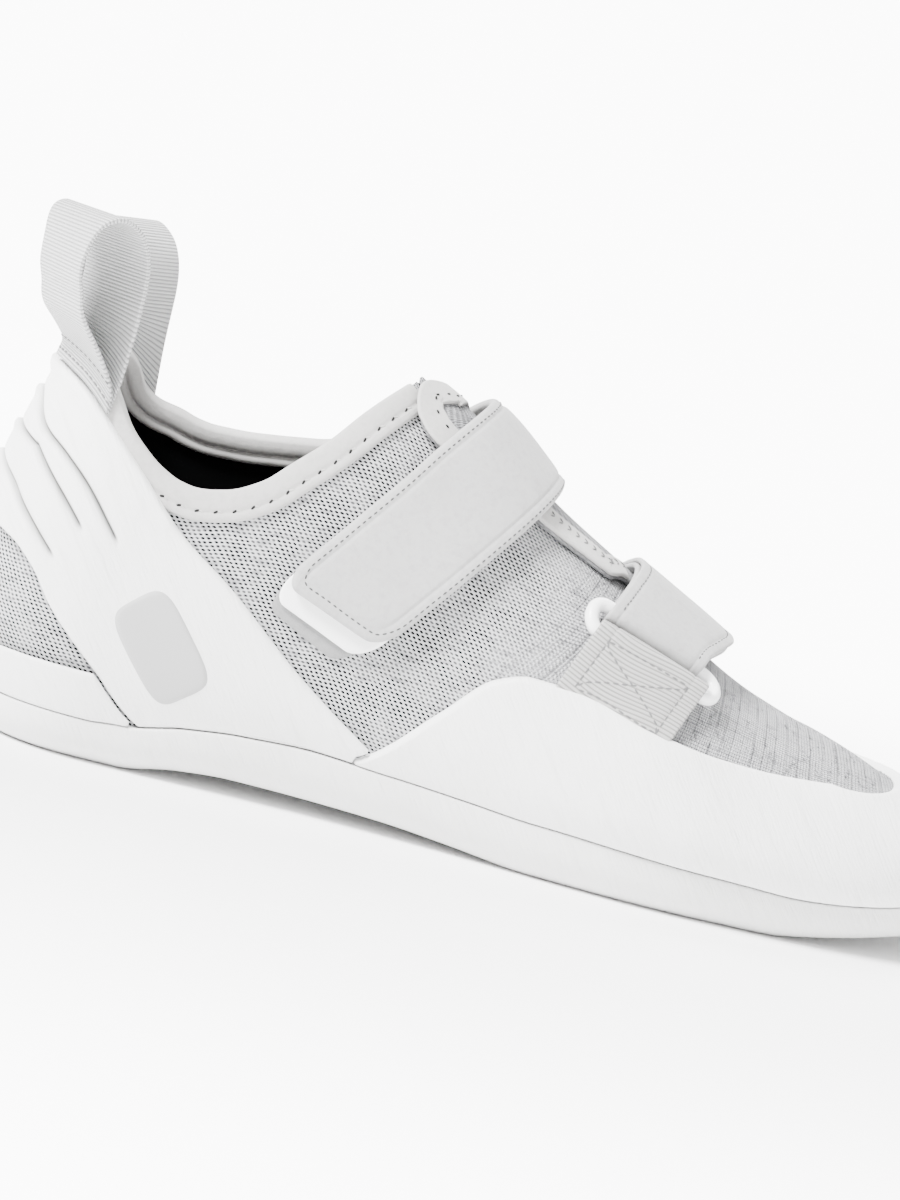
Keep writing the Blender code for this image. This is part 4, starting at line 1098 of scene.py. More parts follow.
KNIT_ROWS = 76
rear_u = np.linspace(-0.3, 0.3, 240)[1:-1]
fine_u = np.concatenate([np.linspace(-1, -0.3, 190), rear_u, np.linspace(0.3, 1, 190)])
edge_q = np.array([upper_edge(u) for u in fine_u])
share = np.linspace(0, 1, KNIT_ROWS)[None, :]
U = np.repeat(fine_u[:, None], KNIT_ROWS, 1)
Q = -1 + (edge_q[:, None] + 1) * share
outer = over(U, Q, 0.0)
n = read(NORMAL, U, Q)
hold = smooth(0.0, 0.1, share) * smooth(0.0, 0.06, 1 - share)
outer = outer + n * (wobble(outer, 0.021, 0.00016) * hold)[..., None]
uv, traits = cloth_map(U, outer)
knit = surface("upper_knit", outer, KNIT, uv, n, attrs=traits)
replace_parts(knit, "upper")
inner = outer - n * UPPER_WALL
lining = surface("upper_lining", inner[::2, ::2], LINING, None, -n[::2, ::2])
# The bed closes the lining underneath, from its foot on one side to the other.
foot_line = inner[:, 2]
half = len(foot_line) // 2
across = np.linspace(0, 1, 9)[None, :, None]
bed = foot_line[:half, None] * (1 - across) + foot_line[::-1][:half, None] * across
bed_lining = surface("bed_lining", bed, LINING, None, np.broadcast_to([0.0, 0.0, 1.0], bed.shape))


# Helpers for the pieces laid on the upper


def edge_distance(points, *lines):
    """How far each point of a grid is from the nearest of some lines of points."""
    dense = []
    for line in lines:
        run = arc(line)
        spots = np.linspace(0, run[-1], max(2, int(run[-1] / 0.00012)))
        dense.append(along_line(line, run, spots))
    dense = np.concatenate(dense)
    tree = kdtree.KDTree(len(dense))
    for index, point in enumerate(dense):
        tree.insert(point, index)
    tree.balance()
    flat = points.reshape(-1, 3)
    return np.array([tree.find(point)[2] for point in flat]).reshape(points.shape[:-1])


def columns(us, low, high, count, edge):
    """(u, q) over a patch: its rows are spaced by distance, and close together at both edges."""
    rows = []
    for u, a, b in zip(us, low, high):
        q = np.linspace(a, b, 41)
        run = arc(read(SKIN, np.full(41, u), q))
        width = max(run[-1], 1e-6)
        rows.append(np.interp(ramp(count, width, min(edge, width * 0.3)) * width, run, q))
    rows = np.array(rows)
    return np.repeat(np.asarray(us)[:, None], rows.shape[1], 1), rows


def sample(profile, values, low=0.0, high=1.0):
    """A profile read at many values at once."""
    places = np.linspace(low, high, 600)
    return np.interp(values, places, [profile(place) for place in places])


def grid_normals(points):
    return unit(np.cross(np.gradient(points, axis=0), np.gradient(points, axis=1)))


def strip(name, mid, wall, finish, outward, edge, grooves=(), puff=0.0, row=0, attrs=None, straight=False):
    """A band with rounded edges about a grid of middle points (along it, across it).

    grooves are (distance in from the edge, depth, width). puff swells the top. row is where the
    top is told from the underside by outward. straight keeps the cloth's rows square across.
    """
    count = mid.shape[1]
    normal = grid_normals(mid)
    if np.dot(normal[row, count // 2], outward) < 0:
        normal = -normal
    far = edge_distance(mid, mid[:, 0], mid[:, -1], mid[0], mid[-1])
    half = wall / 2 * rounded(far, edge)
    top = half + puff * smooth(0, 0.006, far)
    for place, depth, width in grooves:
        top = top - depth * np.exp(-(((far - place) / width) ** 2))
    upper = mid + normal * top[..., None]
    lower = mid - normal * half[..., None]
    across = np.stack([arc(line) for line in mid]) * 1000
    along = np.stack([arc(mid[:, count // 2 if straight else j]) for j in range(count)], 1) * 1000
    cloth = np.stack([across, along], -1)
    ring = np.concatenate([upper, lower[:, -2:0:-1]], 1)
    ring_cloth = np.concatenate([cloth, cloth[:, -2:0:-1]], 1)
    away = np.concatenate([normal, -normal[:, -2:0:-1]], 1)
    extra = {label: np.full(ring.shape[:2], value) for label, value in (attrs or {}).items()}
    piece = surface(name, ring, finish, ring_cloth, away, closed=True, attrs=extra, weld=True)
    return piece, upper, normal


def along_path(points, normals, spots):
    """Points and normals at fractional (row, column) spots of a grid."""
    i, j = np.asarray(spots).T
    i0 = np.clip(i.astype(int), 0, points.shape[0] - 2)
    j0 = np.clip(j.astype(int), 0, points.shape[1] - 2)
    s, t = (i - i0)[:, None], (j - j0)[:, None]

    def mixed(field):
        near = field[i0, j0] * (1 - s) + field[i0 + 1, j0] * s
        far = field[i0, j0 + 1] * (1 - s) + field[i0 + 1, j0 + 1] * s
        return near * (1 - t) + far * t

    return mixed(points), unit(mixed(normals))


def even_spots(line, normals, pitch):
    """(places, headings, normals) at even distances along a line."""
    run = arc(line)
    spots = np.arange(pitch / 2, run[-1], pitch)
    facing = unit(along_line(normals, run, spots))
    ahead = along_line(line, run, spots + pitch * 0.3)
    behind = along_line(line, run, spots - pitch * 0.3)
    return along_line(line, run, spots), unit(ahead - behind), facing


def beads(name, places, headings, facing, size, finish):
    """Small ellipsoids, of (length, width, height), lying along their headings."""
    around, levels_of = 8, 4
    unit_points = [(0, 0, 1)]
    for level in range(1, levels_of):
        polar = math.pi * level / levels_of
        ring_at = math.sin(polar)
        for turn in range(around):
            angle = 2 * math.pi * turn / around
            unit_points.append((ring_at * math.cos(angle), ring_at * math.sin(angle), math.cos(polar)))
    unit_points.append((0, 0, -1))
    faces = [(0, 1 + t, 1 + (t + 1) % around) for t in range(around)]
    for level in range(levels_of - 2):
        base = 1 + level * around
        below = base + around
        faces += [(base + t, below + t, below + (t + 1) % around, base + (t + 1) % around) for t in range(around)]
    last = len(unit_points) - 1
    base = last - around
    faces += [(last, base + (t + 1) % around, base + t) for t in range(around)]
    shape = np.array(unit_points) * np.array(size) / 2
    aside = unit(np.cross(facing, headings))
    front = unit(np.cross(aside, facing))
    vertices = []
    for place, a, b, c in zip(places, front, aside, facing):
        vertices.append(place + shape[:, :1] * a + shape[:, 1:2] * b + shape[:, 2:] * c)
    count = len(unit_points)
    copies = range(len(vertices))
    all_faces = [tuple(index + n * count for index in face) for n in copies for face in faces]
    mesh = bpy.data.meshes.new(name)
    mesh.from_pydata(np.concatenate(vertices).tolist(), [], all_faces)
    return piece_of(name, mesh, finish)


BELT_STATIONS = np.linspace(HEEL_SHARE, 1, 500)
BELT_XS = np.array([station_x(s) for s in BELT_STATIONS])


def belt_spot(lean, foot, q):
    """The u where a leaning plane standing at foot on the floor meets the skin at q."""
    foot, q = np.broadcast_arrays(np.asarray(foot, float), np.asarray(q, float))
    x = foot * SHOE_LENGTH + lean * INSTEP_HEIGHT * 0.7
    for _ in range(30):
        u = -np.interp(np.maximum(x, HEEL_CENTRE), BELT_XS, BELT_STATIONS)
        x = x + 0.7 * (foot * SHOE_LENGTH + lean * read(SKIN, u, q)[..., 2] - x)
    return -np.interp(x, BELT_XS, BELT_STATIONS)


def ridge_share(q):
    return 1 - smooth(0.0, 0.42, np.abs(np.asarray(q) - 1))


def smooth_line(rows, count):
    """A smooth line through rows of values, by Catmull and Rom's rule."""
    rows = np.asarray(rows, float)
    padded = np.concatenate([2 * rows[:1] - rows[1:2], rows, 2 * rows[-1:] - rows[-2:-1]])
    t = np.linspace(0, len(rows) - 1, count)
    i = np.clip(t.astype(int), 0, len(rows) - 2)
    s = (t - i)[:, None]
    a, b, c, d = padded[i], padded[i + 1], padded[i + 2], padded[i + 3]
    square, cube = 2 * a - 5 * b + 4 * c - d, 3 * b - a - 3 * c + d
    return 0.5 * (2 * b + (c - a) * s + square * s**2 + cube * s**3)


# Rands and sling

# The rand's columns are closest round the station where its two top edges meet.
CROSSING_REACH = 0.02
crossing = station_of(RAND_CROSSING * SHOE_LENGTH)
spread = np.linspace(-1, 1, 61)
near = crossing + CROSSING_REACH * np.sign(spread) * np.abs(spread) ** 2.2
before = np.linspace(RAND_START, crossing - CROSSING_REACH, 200)[:-1]
after = np.linspace(crossing + CROSSING_REACH, 1.0, 60)[1:]
rand_stations = np.concatenate([before, near, after])
rand_u = np.concatenate([-rand_stations, rand_stations[::-1]])
rand_low = np.array([seam_q(abs(u), side_of(u)) for u in rand_u])
rand_high = np.array([rand_q(abs(u), side_of(u)) for u in rand_u])
U, Q = columns(rand_u, rand_low, rand_high, 26, 0.0018)
base = over(U, Q, LAYER)
open_part = np.abs(rand_u) <= crossing + 1e-4
half_way = len(rand_stations)
tops = [base[:half_way][open_part[:half_way]][:, -1], base[half_way:][open_part[half_way:]][:, -1]]
from_top = edge_distance(base, *tops, base[0], base[-1])
from_foot = edge_distance(base, base[:, 0])
lift = (LAYER + 0.0003) * rounded(from_top, 0.0017) - 0.0003 - 0.0007 * (1 - rounded(from_foot, 0.0010))
lift = lift + wobble(base, 0.034, 0.00022, 1.3) * smooth(0, 0.006, np.minimum(from_top, from_foot))
toe_rand = surface("toe_rand_rubber", over(U, Q, lift), RUBBER, None, read(NORMAL, U, Q), weld=True)
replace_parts(toe_rand, "toe_rand")

# Each moulded welt starts at the heel's back and ends sharply on the side: (station, height).
WELTS = [
    [(0.0, 0.0815), (0.020, 0.0797), (0.045, 0.0738), (0.0725, 0.0693), (0.100, 0.0629), (0.1325, 0.0521)],
    [(0.0, 0.0722), (0.020, 0.0712), (0.045, 0.0692), (0.0525, 0.0680), (0.0825, 0.0599), (0.1045, 0.0530)],
    [(0.0, 0.0642), (0.015, 0.0631), (0.040, 0.0597), (0.0600, 0.0540), (0.0900, 0.0450)],
]
WELT_OFFSETS = np.array([-13, -8, -5, -3, -1, 1, 3, 6, 10, 15, 22]) * 1e-4
WELT_REACH = 0.2
WELT_STEP = 0.00065
WELT_GROOVE = 0.00105
WELT_LIP = 0.00055


def welt_level(welt, station):
    """A welt's height, carried on past its end at its last slope."""
    line = smooth_line(welt, 80)
    (s0, h0), (s1, h1) = line[-6], line[-1]
    beyond = h1 + (station - s1) * (h1 - h0) / (s1 - s0)
    return np.where(station <= s1, np.interp(station, line[:, 0], line[:, 1]), beyond)


back_half = np.linspace(0, 0.14, 130)[1:-1]
front_half = np.linspace(0.14, SLING_END, 110)
outer_half = np.concatenate([-front_half[::-1], -back_half[::-1], [0.0]])
sling_u = np.concatenate([outer_half, back_half, front_half])
sling_q, lap_height = [], []
for u in sling_u:
    station, side = abs(u), side_of(u)
    top = INSTEP_HEIGHT * SLING["top"](station) + arch_lift(station, side)
    bottom = max(INSTEP_HEIGHT * SLING["bottom"](station), levels(station, side)[0] + GAP)
    if station > RAND_START - SMALL:
        bottom = max(bottom, rand_top(station, side) + SEAT)
    bottom = min(bottom, top - 0.0002)
    span = top - bottom
    small = min(1.0, span / 0.045)
    levels_here = [float(welt_level(welt, station)) for welt in WELTS]
    ceiling = top - 0.0045 * small
    heights = [top - d * small for d in (0, 0.00006, 0.00018, 0.0004, 0.0008, 0.0013, 0.0019)]
    for index, level in enumerate(levels_here):
        floor_here = bottom + (0.0035 + 0.0045 * (2 - index)) * small
        level = min(ceiling, max(level, floor_here))
        near_welt = [level - offset * small for offset in WELT_OFFSETS]
        fill = np.linspace(heights[-1], near_welt[0], 9)[1:-1].tolist()
        heights += fill + near_welt
        ceiling = level - 0.0045 * small
    close = [bottom + d * small for d in (0.0013, 0.0008, 0.0004, 0.00018, 0.00006, 0)]
    heights += np.linspace(heights[-1], close[0], 26)[1:-1].tolist() + close
    qs = np.linspace(q_at(station, side, bottom), q_at(station, side, top), 61)
    zs = read(SKIN, np.full(61, u), qs)[:, 2]
    sling_q.append(np.interp(heights[::-1], np.maximum.accumulate(zs + np.arange(61) * 1e-9), qs))
    lap_height.append(binding_foot(max(station, 0.005), side) - SLING_LAP_CLEAR)
Q = np.array(sling_q)
U = np.repeat(sling_u[:, None], Q.shape[1], 1)
base = over(U, Q, LAYER)
height = base[..., 2]
lift = np.full(U.shape, GAP + SLING_WALL)
# Painted shade: a share along each welt's groove, where the rubber is painted nearly black.
painted_welt_shade = np.zeros(U.shape)
for welt in WELTS:
    stations = np.abs(U)
    end = welt[-1][0]
    samples = np.linspace(0, WELT_REACH, 80)
    slope = np.gradient(welt_level(welt, samples), samples[1] * SHOE_LENGTH)
    tilt = np.hypot(1, np.interp(stations, samples, slope))
    past = (welt_level(welt, stations) - height) / tilt
    fade = 1 - smooth(end - 0.030, end + 0.004, stations)
    sharp = 1 - smooth(end - 0.006, end + 0.001, stations)
    lift = lift + WELT_STEP * smooth(0.0, 0.0007, past) * fade * (1 - smooth(0.004, 0.014, past) * 0.6)
    lift = lift - WELT_GROOVE * np.exp(-(((past + 0.0002) / 0.00042) ** 2)) * sharp
    lift = lift + WELT_LIP * np.exp(-(((past - 0.0013) / 0.0009) ** 2)) * fade
    painted_welt_shade = np.maximum(painted_welt_shade, np.exp(-(((past + 0.0003) / 0.00040) ** 2)) * sharp)
laps = np.array(lap_height)[:, None]
lift = lift + (BINDING_WALL + SEAT) * smooth(-0.0030, 0.0, height - laps)
from_top = edge_distance(base, base[:, -1])
from_foot = edge_distance(base, base[:, 0])
lift = lift * rounded(from_top + 0.00012, 0.0013) - 0.0009 * (1 - rounded(from_foot, 0.0009))
lift = lift + wobble(base, 0.030, 0.00014, 0.4) * smooth(0, 0.006, np.minimum(from_top, from_foot))
traits = {"painted_welt_shade": painted_welt_shade}
sling = surface("heel_sling_rubber", over(U, Q, lift), RUBBER, None, read(NORMAL, U, Q), attrs=traits)
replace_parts(sling, "heel_sling")

# A plain rounded oblong pressed into the sling, with no mark on it.
PLAQUE_PLACE = (0.0500, 0.0315)
PLAQUE_HALF_WIDTH = 0.0076
PLAQUE_HALF_HEIGHT = 0.0130
PLAQUE_LEAN = math.radians(40)
PLAQUE_CORNERS = 4.5
turns = np.linspace(0, 2 * math.pi, 97)[:-1]
reach = np.array([0.0, 0.3, 0.6, 0.80, 0.88, 0.92, 0.95, 0.98, 1.0, 1.03, 1.06])
rise = np.array([0.45, 0.45, 0.45, 0.45, 0.44, 0.40, 0.30, 0.12, 0.0, -0.2, -0.6]) / 1000
radial = np.abs(np.cos(turns)) ** PLAQUE_CORNERS + np.abs(np.sin(turns)) ** PLAQUE_CORNERS
radial = radial ** (-1 / PLAQUE_CORNERS)
wide = PLAQUE_HALF_WIDTH * np.cos(turns) * radial
tall = PLAQUE_HALF_HEIGHT * np.sin(turns) * radial
local_x = wide * math.cos(PLAQUE_LEAN) - tall * math.sin(PLAQUE_LEAN)
local_z = wide * math.sin(PLAQUE_LEAN) + tall * math.cos(PLAQUE_LEAN)


def outer_spot(x, z):
    """The (u, q) on the outer side at a place along the shoe and a height."""
    station = (x + REST_SPOT) / SHOE_LENGTH
    for _ in range(4):
        q = q_at(station, -1, z)
        station += (x - float(read(SKIN, -station, q)[0])) / SHOE_LENGTH
    return -station, q


x = PLAQUE_PLACE[0] - REST_SPOT + np.outer(reach, local_x)
z = PLAQUE_PLACE[1] + np.outer(reach, local_z)
spots = np.array([outer_spot(a, b) for a, b in zip(x.ravel(), z.ravel())]).reshape(*x.shape, 2)
u, q = spots[..., 0], spots[..., 1]
points = over(u, q, GAP + SLING_WALL + rise[:, None] + 0 * u)
surface("sling_plaque", points, BADGE, None, read(NORMAL, u, q), closed=True, weld=True)

low_u = np.linspace(-HEEL_RAND_END, HEEL_RAND_END, 260)
low_q, top_of_rand = [], []
for u in low_u:
    station, side = abs(u), side_of(u)
    top = min(INSTEP_HEIGHT * HEEL_RAND_TOP, INSTEP_HEIGHT * SLING["bottom"](station) - 2 * GAP)
    low_q.append(seam_q(station, side))
    top_of_rand.append(q_at(station, side, top))
U, Q = columns(low_u, low_q, top_of_rand, 10, 0.0012)
base = over(U, Q, LAYER)
from_top = edge_distance(base, base[:, -1], base[0], base[-1])
from_foot = edge_distance(base, base[:, 0])
lift = LAYER + 0.0004 - 0.0009 * (1 - rounded(from_top, 0.0010)) - 0.0007 * (1 - rounded(from_foot, 0.0009))
heel_rand = surface("heel_rand_rubber", over(U, Q, lift), RUBBER, None, read(NORMAL, U, Q))
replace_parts(heel_rand, "heel_rand")

# Sole

sole_grid = []
for u in np.linspace(-1, 1, 421)[:-1]:
    side = side_of(u)
    top = levels(abs(u), side)[0]

    def at_height(share):
        return lambda x, spread: sole_bottom(x, side, spread) * (1 - share) + top * share

    flat_insets = (None, 0.030, FLAT_INSET, 1.3 * EDGE_ROUND)
    column = [sole_row(u, inset, at_height(0.0)) for inset in flat_insets]
    for turn in np.linspace(12, 90, 9):
        angle = math.radians(turn)
        rise = EDGE_ROUND_HEIGHT * (1 - math.cos(angle))
        column.append(sole_row(u, EDGE_ROUND * (1 - math.sin(angle)), at_height(rise)))
    column += [sole_row(u, 0.0, at_height(share)) for share in (0.80, 0.88, 0.94)]
    column += [sole_row(u, inset, at_height(share)) for inset, share in ((0.0001, 0.975), (0.0004, 0.995))]
    column += [sole_row(u, inset, at_height(1.0)) for inset in (0.0009, 0.0018, 0.0036)]
    sole_grid.append([tuple(point) for point in column])
sole_points = np.array(sole_grid)
sole_points[..., 0] -= REST_SPOT
closed_sole = np.concatenate([sole_points, sole_points[:1]])
# The sole's side, in rubber painted darker as painted shade.
sole = surface("sole_rubber_side", closed_sole, SHADED_SOLE_RUBBER, None, (0.08, 0.0, 0.008), weld=True)
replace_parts(sole, "sole")

# Collar binding

tape_lift = 2 * GAP + BINDING_WALL
tape_side = np.linspace(0.12, BINDING_END, 170)
tape_u = np.concatenate([-tape_side[::-1], np.linspace(-0.12, 0.12, 140)[1:-1], tape_side])
tape_q = np.array([upper_edge(u) for u in tape_u])
rim = read(SKIN, tape_u, tape_q)
rim_normal = unit(read(NORMAL, tape_u, tape_q))
rim_path = unit(np.gradient(rim, axis=0))
down = unit(np.cross(rim_path, rim_normal))
down = np.where(down[:, 2:] > 0, -down, down)


def down_the_tape(distance):
    """(u, q) at a distance down from the collar's rim, reached in two steps."""
    u, q = tape_u, tape_q
    for _ in range(2):
        du, dq = step_of(u, q, down)
        u, q = u + du * distance / 2, q + dq * distance / 2
    return u, q


def tape_line(distance, height):
    u, q = down_the_tape(distance)
    return read(SKIN, u, q) + unit(read(NORMAL, u, q)) * height


# The tape's section, from its foot outside over the rim to its foot inside. Outside are the
# distance up from the foot and the height over the tape's lift, with a groove for its stitches.
# Inside are the distance down from the rim and the height, with a sewn ridge.
TAPE_OUTSIDE = [
    (0.0002, -0.0002),
    (0.0006, 0.0),
    (0.0014, 0.0001),
    (0.0019, 0.0),
    (0.0023, -0.00025),
    (0.0027, 0.0),
    (0.0034, 0.0002),
    (0.0046, 0.0002),
    (0.0058, 0.0002),
]
TAPE_INSIDE = [
    (0.0010, -0.0003),
    (0.0022, -0.0004),
    (0.0030, -0.0001),
    (0.0034, 0.0007),
    (0.0037, 0.0012),
    (0.0040, 0.0006),
    (0.0046, -0.0001),
    (0.0056, -0.0001),
    (0.0062, 0.0004),
    (0.0064, 0.0016),
]
HOLE_LINE = 6
roll = UPPER_WALL / 2 + tape_lift
tape = [tape_line(BINDING_WIDTH + 0.0001, 0.0002), tape_line(BINDING_WIDTH, tape_lift * 0.6)]
tape += [tape_line(BINDING_WIDTH - rise, tape_lift + height) for rise, height in TAPE_OUTSIDE]
for turn in np.linspace(0, 180, 11):
    angle = math.radians(turn)
    out = roll * math.cos(angle)
    tape.append(rim + rim_normal * (out - UPPER_WALL / 2) - down * (roll * 0.35 * math.sin(angle)))
tape += [tape_line(fall, height - UPPER_WALL - tape_lift) for fall, height in TAPE_INSIDE]
tape = np.stack(tape, 1)
away = grid_normals(tape)
away = away * np.sign((away[:, 4] * rim_normal).sum())
binding = surface("collar_binding_suede", tape, BINDING_SUEDE, None, away)
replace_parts(binding, "collar_binding")
places, headings, facing = even_spots(tape[:, HOLE_LINE], rim_normal, 0.0044)
sideways = np.cross(facing, headings)
slits = unit(headings + sideways * 0.7)
# Painted shade of the binding's stitch holes, as slanted dark beads.
beads("binding_hole_shade", places, slits, facing, (0.0017, 0.0008, 0.0007), HOLE_SHADE)
threads = places - headings * 0.0011 + facing * 0.0001
slants = unit(headings - sideways * 0.5)
beads("binding_stitches", threads, slants, facing, (0.0020, 0.0005, 0.0004), BINDING_SUEDE)

# Straps, tab and pile


def across_shares(width, lines=()):
    """Shares of a width with close rows at the edges and at each sewn line."""
    spots = {0.0, 0.00005, 0.00015, 0.0003, 0.0005, 0.0008, 0.0011, 0.0015, 0.0019}
    for line in lines:
        spots |= {line + step * 0.00025 for step in (-3, -2, -1, 0, 1, 2, 3)}
    spots = {s for s in spots if 0 <= s < width / 2 - 0.0004}
    both = sorted(spots | {width - s for s in spots})
    gap_start, gap_end = max(spots), width - max(spots)
    both += np.linspace(gap_start, gap_end, max(3, int((gap_end - gap_start) / 0.0009)))[1:-1].tolist()
    return np.array(sorted(both)) / width


def belt_grid(lean, edges, start_of, end_of, lift_of, shares, alongs, bow=0.0, stand=0.0):
    """Middle points of a strap, along it and across it."""
    foot = between(edges, shares)
    start = np.array([belt_q(lean, f, start_of(s)) for f, s in zip(foot, shares)])
    end = np.array([end_of(s) for s in shares])
    q = start[None] + (end - start)[None] * alongs[:, None]
    free = ridge_share(q) * (1 - shares)[None]
    u = belt_spot(lean, foot[None] + bow * free, q)
    return over(u, q, lift_of(q) + stand * free)


def strap_inner_end(share):
    height = INSTEP_HEIGHT * between(STRAP_INNER_ENDS, share)
    return belt_q(STRAP_LEAN, between(STRAP_EDGES, share), height, 1)


END_DROP = 0.0032
SEAM_GROOVE = 0.0029
OUTER_SIDE = (0, -1, 0.3)
DASH = (0.00112, 0.00042, 0.00030)
LONG_DASH = (0.0016, 0.0005, 0.0004)
near_end = np.array([0, 5, 14, 28, 45, 70, 100, 140, 180, 220, 260, 300]) * 1e-4


def strap_foot(share, drop=0.0):
    return strap_end_height(share, drop + END_DROP)


strap_width = belt_width(STRAP_EDGES, STRAP_LEAN)
shares = across_shares(strap_width, (0.0024, 0.0033))
alongs = np.concatenate([near_end, np.linspace(0.036, 1, 130)])
mid = belt_grid(
    STRAP_LEAN,
    STRAP_EDGES,
    strap_foot,
    strap_inner_end,
    lambda q: sample(STRAP_STANDOFF, q, 0, 2) + STRAP_WALL / 2,
    shares,
    alongs,
    STRAP_BOW,
    STRAP_STAND,
)
groove = (SEAM_GROOVE, 0.00028, 0.0005)
strap, strap_top, strap_normal = strip(
    "main_strap_suede", mid, STRAP_WALL, STRAP_SUEDE, OUTER_SIDE, 0.0011, (groove,), puff=0.0003
)
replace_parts(strap, "main_strap")


def strap_seam(points, left, right, near, far, corner=0.004):
    """Spots round a strap's edges, at distances in from its two sides and its two ends."""
    rows = np.arange(points.shape[0])
    run = arc(points[:, points.shape[1] // 2])
    wide = arc(points[len(points) // 3])

    def spot(b, a):
        return np.interp(b, run, rows), np.interp(a, wide, np.arange(points.shape[1]))

    end = run[-1] - far
    a1, a2 = left, wide[-1] - right
    line = [spot(b, a1) for b in np.linspace(end, near + corner, 200)]
    turns = np.radians(np.linspace(0, 90, 12))
    line += [spot(near + corner * (1 - math.sin(t)), a1 + corner * (1 - math.cos(t))) for t in turns]
    line += [spot(near, a) for a in np.linspace(a1 + corner, a2 - corner, 40)]
    line += [spot(near + corner * (1 - math.cos(t)), a2 - corner * (1 - math.sin(t))) for t in turns]
    line += [spot(b, a2) for b in np.linspace(near + corner, end, 200)]
    return line


def sewn_line(name, points, normals, spots, pitch, size, finish):
    """Dashes along a line of (row, column) spots on a strip."""
    places, facing = along_path(points, normals, spots)
    return beads(name, *even_spots(places, facing, pitch), size, finish)


seam = strap_seam(strap_top, 0.0033, 0.0025, 0.0030, 0.004)
# The strap's stitches, painted dark as painted shade of their holes.
sewn_line("main_strap_stitches", strap_top, strap_normal, seam, 0.0017, DASH, STITCH_SHADE)

alongs = np.concatenate([[0, 0.01, 0.03, 0.06, 0.1], np.linspace(0.15, 1, 30)])
TAB_MARGIN = 0.004
TAB_END_Q = 0.52
PILE_END_Q = 0.58
tab_edges = (STRAP_EDGES[0] + TAB_MARGIN, STRAP_EDGES[1] - TAB_MARGIN)
tab_lift = GAP + PILE_WALL + GAP + HOOK_TAB_WALL / 2
mid = belt_grid(
    STRAP_LEAN,
    tab_edges,
    lambda share: strap_foot(share, HOOK_REACH),
    lambda share: TAB_END_Q,
    lambda q: np.full(np.shape(q), tab_lift),
    across_shares(strap_width * 0.93),
    alongs,
)
tab = strip("hook_tab_plastic", mid, HOOK_TAB_WALL, PLASTIC, OUTER_SIDE, 0.0005)[0]
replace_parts(tab, "hook_tab")
pile_edges = (STRAP_EDGES[0] + 0.008, STRAP_EDGES[1] - 0.014)
mid = belt_grid(
    STRAP_LEAN,
    pile_edges,
    lambda share: strap_foot(share, PILE_REACH),
    lambda share: PILE_END_Q,
    lambda q: np.full(np.shape(q), GAP + PILE_WALL / 2),
    across_shares(strap_width * 0.88),
    alongs,
)
pile = strip("pile_fuzz", mid, PILE_WALL, PILE, OUTER_SIDE, 0.0009)[0]
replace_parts(pile, "pile_patch")

# Flap and its bound edge


def flap_head(q):
    """The flap's top edge, which falls back towards its inner side."""
    return FLAP_TOP + 0.0015 + 0.0235 * smooth(0.82, 1.06, q) + 0.010 * smooth(1.06, FLAP_INNER_Q, q)


def flap_lift(stations):
    """How far the flap stands off the upper: more at its free tip."""
    return SEAT + FLAP_LIFT * (1 - smooth(0.375, 0.43, stations))


flap_share = np.concatenate([[0, 0.002, 0.005, 0.010], np.linspace(0.018, 1, 110)])
flap_across = np.concatenate([[0, 0.008, 0.02, 0.04], np.linspace(0.07, 1, 40)])
rough_q = between((FLAP_EDGE(FLAP_TOP + 0.01), FLAP_INNER_Q), flap_across)
head = flap_head(rough_q) + 0.0135 * (1 - rounded(rough_q - rough_q[0], 0.10))
stations = head[None] + (FLAP_END - head[None]) * flap_share[:, None]
start = sample(FLAP_EDGE, stations)
q = start + (FLAP_INNER_Q - start) * flap_across[None]
mid = over(-stations, q, flap_lift(stations) + FLAP_WALL / 2)
flap = strip("flap_knit", mid, FLAP_WALL, KNIT, (0, 0, 1), 0.0006, row=60, attrs={"fore": 0.55})[0]
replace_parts(flap, "tongue")

edge = [(s, FLAP_EDGE(s)) for s in np.linspace(FLAP_TRIM_END, FLAP_TOP + 0.013, 40)]
corner_q = FLAP_EDGE(FLAP_TOP + 0.013)
edge += [(FLAP_TOP + 0.0065, corner_q + 0.020), (FLAP_TOP + 0.0030, corner_q + 0.055)]
edge += [(flap_head(v), v) for v in np.linspace(corner_q + 0.10, FLAP_INNER_Q - 0.06, 14)]
edge = smooth_line([(float(s), float(v)) for s, v in edge], 190)
line_u, line_q = -edge[:, 0], edge[:, 1]
line = over(line_u, line_q, 0.0)
heading = unit(np.gradient(line, axis=0))
facing = unit(read(NORMAL, line_u, line_q))
inward = unit(np.cross(facing, heading))
flap_middle = read(SKIN, -(FLAP_TOP + FLAP_END) / 2, 1.0)
inward = inward * np.sign((inward * (flap_middle - line)).sum(-1, keepdims=True))
step_u, step_q = step_of(line_u, line_q, inward)
trim_width = FLAP_TRIM_WIDTH + 0.0008
distances = across_shares(trim_width, (0.0022,)) * trim_width
u = line_u[:, None] + step_u[:, None] * distances
q = line_q[:, None] + step_q[:, None] * distances
mid = over(u, q, flap_lift(np.abs(u)) + FLAP_WALL + SEAT + FLAP_TRIM_WALL / 2 - 0.0003)
trim, trim_top, trim_normal = strip(
    "flap_trim_suede", mid, FLAP_TRIM_WALL + 0.0006, BINDING_SUEDE, (0, -1, 0.5), 0.0006, row=30
)
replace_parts(trim, "tongue_trim")
near_tip = np.abs(edge[:, 0]) < 0.43
facing = trim_normal[:, trim_top.shape[1] // 2]
holes = even_spots(trim_top[near_tip, int(trim_top.shape[1] * 0.62)], facing[near_tip], 0.0042)
